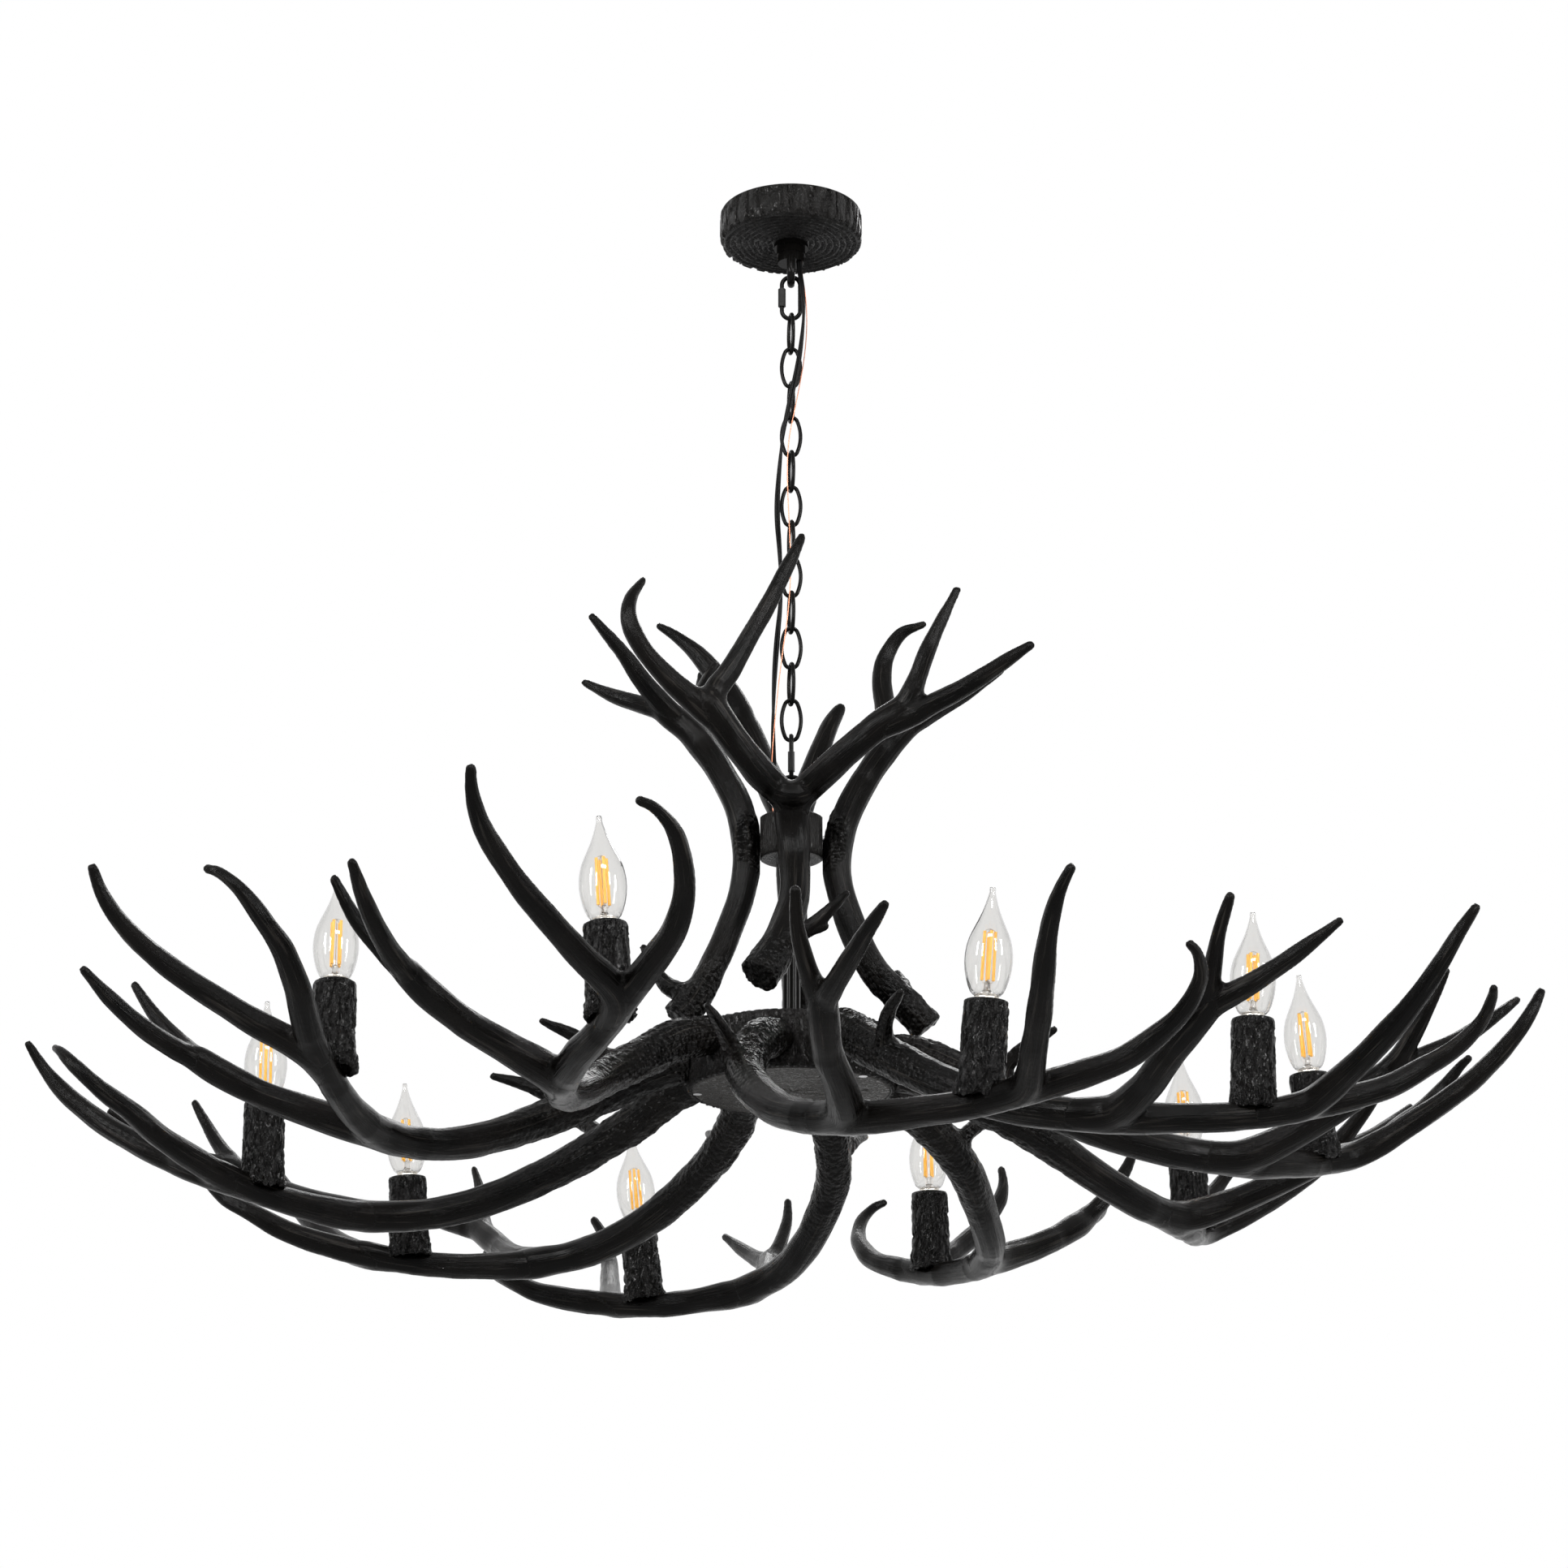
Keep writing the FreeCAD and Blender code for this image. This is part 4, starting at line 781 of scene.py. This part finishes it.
# Roll, pitch and yaw in degrees, and lift in millimetres, of each casting.
LOWER_POSES = ((4.9, 1.9, -0.9, 9.0), (6.2, 3.1, -0.6, -1.0), (-0.5, -0.8, 0.5, -4.0),
               (-3.4, -1.3, -2.7, -1.5), (-4.5, -3.2, 0.4, 0.5), (-0.6, 2.0, 0.3, -8.0),
               (-0.2, 2.9, -0.6, -11.0), (2.0, 3.9, 3.3, -7.0), (-0.6, -1.9, 0.0, 9.0),
               (-2.6, -4.7, 0.5, 2.0))


def lower_pose(index):
    """The turn and shift from the mould's frame to an antler's place."""
    roll, pitch, yaw, lift = LOWER_POSES[index]
    azimuth = FIRST_LAMP_AZIMUTH - LAMP_STEP * index + yaw
    return (Matrix.Translation((0, 0, LAMP_PLANE_Z + lift * 0.001))
            @ Matrix.Rotation(math.radians(azimuth - 90), 4, "Z")
            @ Matrix.Rotation(math.radians(-pitch), 4, "Y")
            @ Matrix.Rotation(math.radians(roll), 4, "X"))


def seat_flat(place, out):
    """Cut the picked antler flat where it is screwed to its hub."""
    bpy.ops.object.mode_set(mode="EDIT")
    bpy.ops.mesh.select_all(action="SELECT")
    bpy.ops.mesh.bisect(plane_co=place, plane_no=out, use_fill=True, clear_inner=True)
    bpy.ops.object.mode_set(mode="OBJECT")


mould, mould_lines = grown("lower_mould", (BEAM, LAMP_BEAM, LONG_TINE, END_TINE, FORK_STEM,
                                           FORK_INNER, FORK_OUTER, BROW_TINE))
mould_places, mould_normals = read_points(mould)
mould_grain, mould_crotch = follow(mould_places, mould_lines)
web_crotches(mould, mould_crotch)
mould_places, mould_normals = read_points(mould)
out_along = np.hypot(mould_places[:, 0], mould_places[:, 1])
mould_bark = np.clip((0.265 - out_along) / 0.10, 0, 1)
for index in range(LAMP_COUNT):
    antler = mould.copy()
    antler.data = mould.data.copy()
    antler.name = "antler_%02d" % (index + 1)
    bpy.context.collection.objects.link(antler)
    seed = 7.3 * (index + 1)
    write_points(antler, carve(mould_places, mould_normals, mould_grain, mould_crotch,
                               mould_bark, seed))
    mark(antler, mould_grain + np.array([0, 0, seed]), mould_crotch, mould_bark)
    antler.data.transform(lower_pose(index))
    turn = math.radians(FIRST_LAMP_AZIMUTH - LAMP_STEP * index + BUTT_AZIMUTH)
    flat = Vector((math.sin(turn), -math.cos(turn), 0))
    pick(antler)
    seat_flat(flat * DRUM_SEAT, flat)
    antler.data.materials.append(horn_finish)
    bpy.ops.object.shade_smooth()
    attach(antler, "chandelier")
    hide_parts("lower_antler_%02d" % (index + 1))
bpy.data.objects.remove(mould)

# Four crown antlers, each of its own shape, are screwed upright round the upper
# hub. Their butts point down and out, and their brow tines stand at the bottom.
FRONT_CROWN = (
    ((-27, -92, -718, 17.0), (-16, -84, -699, 16.0), (-7, -74, -676, 13.5), (2, -56, -643, 13.0),
     (3, -38, -604, 13.6), (1, -38, -576, 14.5), (0, -46, -556, 15.5)),
    ((1, -38, -578, 12.0), (-4, -48, -556, 13.0), (-27, -70, -537, 13.2), (-48, -86, -514, 13.0),
     (-66, -98, -492, 14.0), (-70, -101, -486, 12.5)),
    ((-52, -88, -509, 11.0), (-74, -100, -492, 12.0), (-99, -109, -472, 9.6), (-120, -116, -450, 8.4),
     (-132, -118, -424, 7.6), (-131, -115, -403, 6.0), (-121, -109, -385, 3.8)),
    ((-52, -90, -510, 11.0), (-64, -98, -484, 11.0), (-50, -95, -458, 9.4), (-36, -91, -431, 8.6),
     (-22, -86, -403, 7.8), (-5, -81, -366, 6.6), (9, -76, -333, 4.0)),
    ((1, -38, -578, 12.0), (5, -48, -556, 13.0), (24, -68, -541, 12.6), (46, -84, -525, 12.4),
     (70, -94, -508, 12.8), (88, -100, -497, 12.8)),
    ((66, -92, -511, 10.5), (92, -102, -492, 10.8), (102, -107, -471, 8.2), (113, -111, -442, 6.8),
     (136, -109, -393, 3.6)),
    ((66, -93, -511, 10.5), (92, -101, -502, 10.8), (116, -108, -492, 9.2), (148, -118, -477, 7.8),
     (172, -122, -462, 6.6), (195, -124, -447, 4.0)),
    ((-10, -80, -686, 10.0), (6, -88, -682, 8.2), (20, -93, -673, 6.4), (33, -99, -662, 5.0),
     (45, -103, -651, 3.2)),
    ((2, -86, -684, 6.0), (16, -91, -681, 4.6), (29, -95, -677, 2.8)),
    ((-12, -61, -551, 8.5), (1, -63, -555, 10.5), (13, -61, -552, 8.5)),
)
LEFT_CROWN = (
    ((-92, -10, -731, 15.0), (-80, -6, -714, 14.0), (-67, -2, -690, 12.2), (-53, 0, -656, 11.6),
     (-41, 0, -622, 11.6), (-37, 0, -588, 12.4), (-43, 0, -550, 12.6), (-59, 0, -515, 12.4),
     (-82, 0, -482, 12.6), (-106, 2, -461, 11.6)),
    ((-84, 0, -480, 11.0), (-108, 4, -460, 10.0), (-130, 15, -449, 8.2), (-152, 25, -438, 6.6),
     (-176, 33, -423, 3.8)),
    ((-84, 0, -480, 10.0), (-108, -4, -456, 9.6), (-126, -14, -437, 8.4), (-142, -22, -416, 6.8),
     (-168, -28, -386, 3.4)),
    ((-70, -3, -700, 8.0), (-88, 0, -706, 9.0), (-104, 5, -697, 7.4), (-114, 10, -682, 5.6),
     (-123, 14, -662, 3.6)),
    ((-48, 2, -540, 9.0), (-62, 20, -506, 10.4), (-76, 46, -470, 9.8), (-82, 64, -440, 8.4),
     (-76, 76, -412, 6.6), (-66, 82, -388, 3.8)),
)
RIGHT_CROWN = (
    ((112, 8, -735, 15.0), (92, 5, -712, 14.0), (70, 1, -690, 13.0), (52, 0, -656, 12.4),
     (41, 0, -621, 12.2), (37.5, 0, -588, 12.6), (48, 0, -550, 12.6), (64, 0, -518, 12.2),
     (84, 0, -489, 12.0), (98, 2, -474, 11.0)),
    ((66, 0, -514, 10.0), (80, 12, -478, 10.4), (80, 22, -452, 9.6), (77, 29, -426, 9.0),
     (81, 33, -400, 8.0), (94, 32, -379, 6.0), (114, 28, -372, 3.6)),
    ((84, 0, -489, 10.0), (110, 2, -466, 9.4), (143, 0, -447, 7.6), (178, -2, -424, 3.8)),
    ((76, 0, -696, 9.0), (90, 8, -702, 9.0), (92, 22, -694, 7.0), (88, 34, -680, 3.6)),
)
BACK_CROWN = (
    ((6, 98, -728, 15.0), (6, 90, -706, 14.0), (4, 74, -670, 12.8), (2, 54, -632, 12.4),
     (0, 38, -594, 12.8), (0, 38, -566, 13.4), (0, 46, -542, 14.0)),
    ((0, 39, -562, 11.5), (-8, 52, -532, 12.8), (-26, 72, -482, 13.2), (-48, 90, -426, 12.6),
     (-64, 98, -396, 10.4), (-82, 103, -372, 8.2), (-100, 107, -354, 6.0), (-116, 109, -343, 3.8)),
    ((-40, 84, -440, 9.0), (-62, 112, -424, 9.4), (-76, 132, -402, 7.6), (-80, 142, -376, 3.8)),
    ((0, 39, -562, 11.5), (7, 54, -532, 12.0), (20, 72, -486, 10.4), (32, 85, -449, 8.6),
     (40, 91, -431, 6.6), (44, 93, -424, 4.8)),
    ((4, 84, -694, 9.0), (2, 104, -704, 8.4), (0, 118, -716, 6.4), (-5, 130, -724, 5.0),
     (-13, 142, -728, 3.2)),
)
# Rough pads of bark where the side beams clamp the hub: centre and reach.
PADS = ((-0.031, -0.007, -0.577, 0.019), (0.031, -0.007, -0.576, 0.019))
HUB_SEAT = 0.026
for number, (side, branches, out) in enumerate((("front", FRONT_CROWN, (0, -1, 0)),
                                                ("left", LEFT_CROWN, (-1, 0, 0)),
                                                ("right", RIGHT_CROWN, (1, 0, 0)),
                                                ("back", BACK_CROWN, (0, 1, 0)))):
    antler, lines = grown("crown_" + side, branches)
    places, normals = read_points(antler)
    grain, crotch = follow(places, lines)
    web_crotches(antler, crotch)
    places, normals = read_points(antler)
    bark = np.clip((-0.672 - places[:, 2]) / 0.035, 0, 1)
    swell = np.zeros(len(places))
    for x, y, z, reach in PADS:
        away = np.sqrt((places[:, 0] - x) ** 2 + (places[:, 1] - y) ** 2
                       + ((places[:, 2] - z) / 1.6) ** 2)
        pad = np.clip((reach - away) / 0.005, 0, 1)
        bark = np.maximum(bark, pad)
        swell = np.maximum(swell, 0.0012 * pad)
    seed = 90.0 + 11.7 * number
    places = carve(places, normals, grain, crotch, bark, seed) + normals * swell[:, None]
    write_points(antler, places)
    mark(antler, grain + np.array([0, 0, seed]), crotch, bark)
    pick(antler)
    seat_flat(Vector(out) * HUB_SEAT, Vector(out))
    antler.data.materials.append(horn_finish)
    bpy.ops.object.shade_smooth()
    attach(antler, "chandelier")
    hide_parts("crown_antler_" + side)

# ------------------------------------------------------------------ sleeves
# A candle sleeve is a bark tube that hides the lamp holder. It stands astride
# the antler on a foot that spreads like roots.
SLEEVE_PROFILE = ((0.0141, -0.0004), (0.0150, 0.0), (0.0160, -0.0004), (0.0165, -0.002),
                  (0.0167, -0.010), (0.0167, -0.020), (0.0168, -0.030), (0.0169, -0.040),
                  (0.0171, -0.048), (0.0178, -0.055), (0.0190, -0.061), (0.0200, -0.066),
                  (0.0195, -0.0703), (0.0180, -0.0720), (0.0160, -0.0705), (0.0141, -0.064),
                  (0.0141, -0.040), (0.0141, -0.020))
sleeve_finish = bark_material("sleeve_bark", (0.0010, 0.0009, 0.0008), (0.0060, 0.0053, 0.0048),
                              0.13, 300.0, 130.0, 1.0, 0.0018, 0.20)


def sleeve_lift(x, y, z, seed):
    reach = math.hypot(x, y)
    if reach < 0.0150:
        return 0.0
    ridge = bark_ridge(x, y, z, 0.0170, 0.0052, 0.016, seed)
    cross = noise.noise(Vector((x, y, z)) * 260 + Vector((seed, 0, 0)))
    foot = min(1.0, max(0.0, (-0.050 - z) / 0.012))
    roots = noise.noise(around_z(x, y, 3.2) + Vector((0, 0, seed * 2)))
    lumps = noise.noise(Vector((x, y, z)) * 150 + Vector((0, seed, 0)))
    top = min(1.0, max(0.25, -z / 0.004))
    return (top * (0.0020 * ridge - 0.0019 + 0.0007 * cross)
            + foot * (0.0030 * roots + 0.0024 * lumps - 0.0010))


for index in range(LAMP_COUNT):
    sleeve = turned("sleeve_%02d" % (index + 1), SLEEVE_PROFILE, 120, refine=4)
    roughen(sleeve, lambda x, y, z: sleeve_lift(x, y, z, 3.1 * (index + 1)))
    sleeve.data.transform(lower_pose(index) @ Matrix.Translation((LAMP_RADIUS, 0, 0)))
    coat(sleeve, sleeve_finish, 60)
    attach(sleeve, "chandelier")
    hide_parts("candle_sleeve_%02d" % (index + 1))

# ------------------------------------------------------------------ lamps
# Clear flame-tip lamps with LED filaments: blown glass drawn out to a bead, a
# glass stem that carries the filaments on wires, and a nickel screw cap.
GLASS_OUTSIDE = ((0.0088, 0.0040), (0.0104, 0.0047), (0.0122, 0.0066), (0.0140, 0.0105),
                 (0.0157, 0.0160), (0.0169, 0.0220), (0.0175, 0.0280), (0.0174, 0.0340),
                 (0.0166, 0.0400), (0.0152, 0.0455), (0.0132, 0.0505), (0.0109, 0.0555),
                 (0.0086, 0.0605), (0.0065, 0.0655), (0.0048, 0.0705), (0.0035, 0.0750),
                 (0.0026, 0.0785), (0.0022, 0.0805), (0.0024, 0.0822), (0.0020, 0.0836),
                 (0.0010, 0.0841), (0.0, 0.0842))
GLASS_THICK = 0.0006
STEM_PROFILE = ((0.0, 0.0150), (0.0016, 0.0146), (0.0021, 0.0132), (0.0023, 0.0100),
                (0.0028, 0.0078), (0.0040, 0.0062), (0.0066, 0.0051), (0.0066, 0.0047),
                (0.0, 0.0047))
CAP_PROFILE = ((0.0, -0.0300), (0.0030, -0.0300), (0.0060, -0.0285), (0.0064, -0.0275),
               (0.0064, -0.0040), (0.0068, -0.0015), (0.0087, -0.0014), (0.0090, -0.0010),
               (0.0090, 0.0010), (0.0087, 0.0014), (0.0087, 0.0030), (0.0090, 0.0034),
               (0.0090, 0.0042), (0.0086, 0.0045), (0.0, 0.0045))
FILAMENT_R = 0.00120
FILAMENT_FOOT = 0.0150
FILAMENT_TOP = 0.0510
LEAD_R = 0.00022            # the fine wires that hold the filaments
POST_R = 0.0003             # and the one up the middle


def glass_material():
    """Clear glass whose colour is painted darker towards its edges, as shade, where the wall is seen
    on end.
    """
    material, tree, shader = new_finish("clear_glass")
    shader.inputs["Transmission Weight"].default_value = 1.0
    shader.inputs["IOR"].default_value = 1.45
    where = add(tree, "ShaderNodeTexCoord")
    cloud = add(tree, "ShaderNodeTexNoise", [("Vector", where.outputs["Object"]),
                                             ("Scale", 60.0)])
    rim = add(tree, "ShaderNodeLayerWeight", [("Blend", 0.35)])
    # Painted shade: the colour turns grey towards the edges, in place of the dark surroundings seen
    # through the glass there.
    painted_edge_shade = spread(tree, rim.outputs["Facing"], 0.0, 1.0, 0.25, 0.95)
    tree.links.new(two_tones(tree, painted_edge_shade, (0.86, 0.855, 0.845), (0.40, 0.40, 0.40)),
                   shader.inputs["Base Color"])
    tree.links.new(spread(tree, cloud.outputs["Fac"], 0.0, 0.03), shader.inputs["Roughness"])
    return material


glass_finish = glass_material()
nickel = simple_material("nickel_cap", (0.66, 0.62, 0.56), 0.24, 1.0, 0.10, 200.0)
phosphor = simple_material("filament_phosphor", (0.90, 0.46, 0.05), 0.45, 0.0, 0.10, 900.0)
glow = phosphor.node_tree.nodes["Principled BSDF"]
glow.inputs["Emission Color"].default_value = (1, 0.52, 0.08, 1)
glow.inputs["Emission Strength"].default_value = 0.35

glass = turned("glass", GLASS_OUTSIDE, 48, closed=False, refine=1)
wall = glass.modifiers.new("wall", "SOLIDIFY")
wall.thickness = GLASS_THICK
wall.offset = -1
bpy.ops.object.modifier_apply(modifier="wall")
glass.data.materials.append(glass_finish)
stem_glass = turned("lamp_stem", STEM_PROFILE, 24, closed=False)
stem_glass.data.materials.append(glass_finish)
cap = turned("lamp_cap", CAP_PROFILE, 48, closed=False)
cap.data.materials.append(nickel)
filament_lines = []
wire_lines = []
for k in range(4):
    angle = math.radians(90 * k + 35)
    foot = Vector((math.cos(angle) * 0.0042, math.sin(angle) * 0.0042, FILAMENT_FOOT))
    head = Vector((math.cos(angle + 0.15) * 0.0040, math.sin(angle + 0.15) * 0.0040, FILAMENT_TOP))
    root = Vector((math.cos(angle) * 0.0016, math.sin(angle) * 0.0016, 0.0125))
    low = Vector((foot.x * 0.9, foot.y * 0.9, 0.0138))
    high = Vector((head.x * 0.6, head.y * 0.6, 0.0522))
    filament_lines.append([(spot, FILAMENT_R) for spot in (foot, (foot + head) / 2, head)])
    wire_lines.append([(spot, LEAD_R) for spot in (root, low, foot)])
    wire_lines.append([(spot, LEAD_R) for spot in (head, high, Vector((0, 0, 0.0530)))])
wire_lines.append([(Vector((0, 0, z)), POST_R) for z in (0.0140, 0.0531)])
filaments = tubes("filaments", filament_lines, 2)
filaments.data.materials.append(phosphor)
wires = tubes("lamp_wires", wire_lines, 1)
wires.data.materials.append(nickel)
lamp = {"glass": glass, "lamp_stem": stem_glass, "lamp_cap": cap, "filaments": filaments,
        "lamp_wires": wires}
for piece in lamp.values():
    pick(piece)
    bpy.ops.object.shade_smooth_by_angle(angle=math.radians(45))
for index in range(LAMP_COUNT):
    place = lower_pose(index) @ Matrix.Translation((LAMP_RADIUS, 0, 0))
    spun = Matrix.Rotation(1.3 * index, 4, "Z")
    for label, piece in lamp.items():
        made = piece.copy()
        made.data = piece.data.copy()
        made.name = "%s_%02d" % (label, index + 1)
        bpy.context.collection.objects.link(made)
        made.data.transform(place @ spun)
        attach(made, "bulb_%02d" % (index + 1))
        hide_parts("bulb_%02d" % (index + 1))
for piece in lamp.values():
    bpy.data.objects.remove(piece)
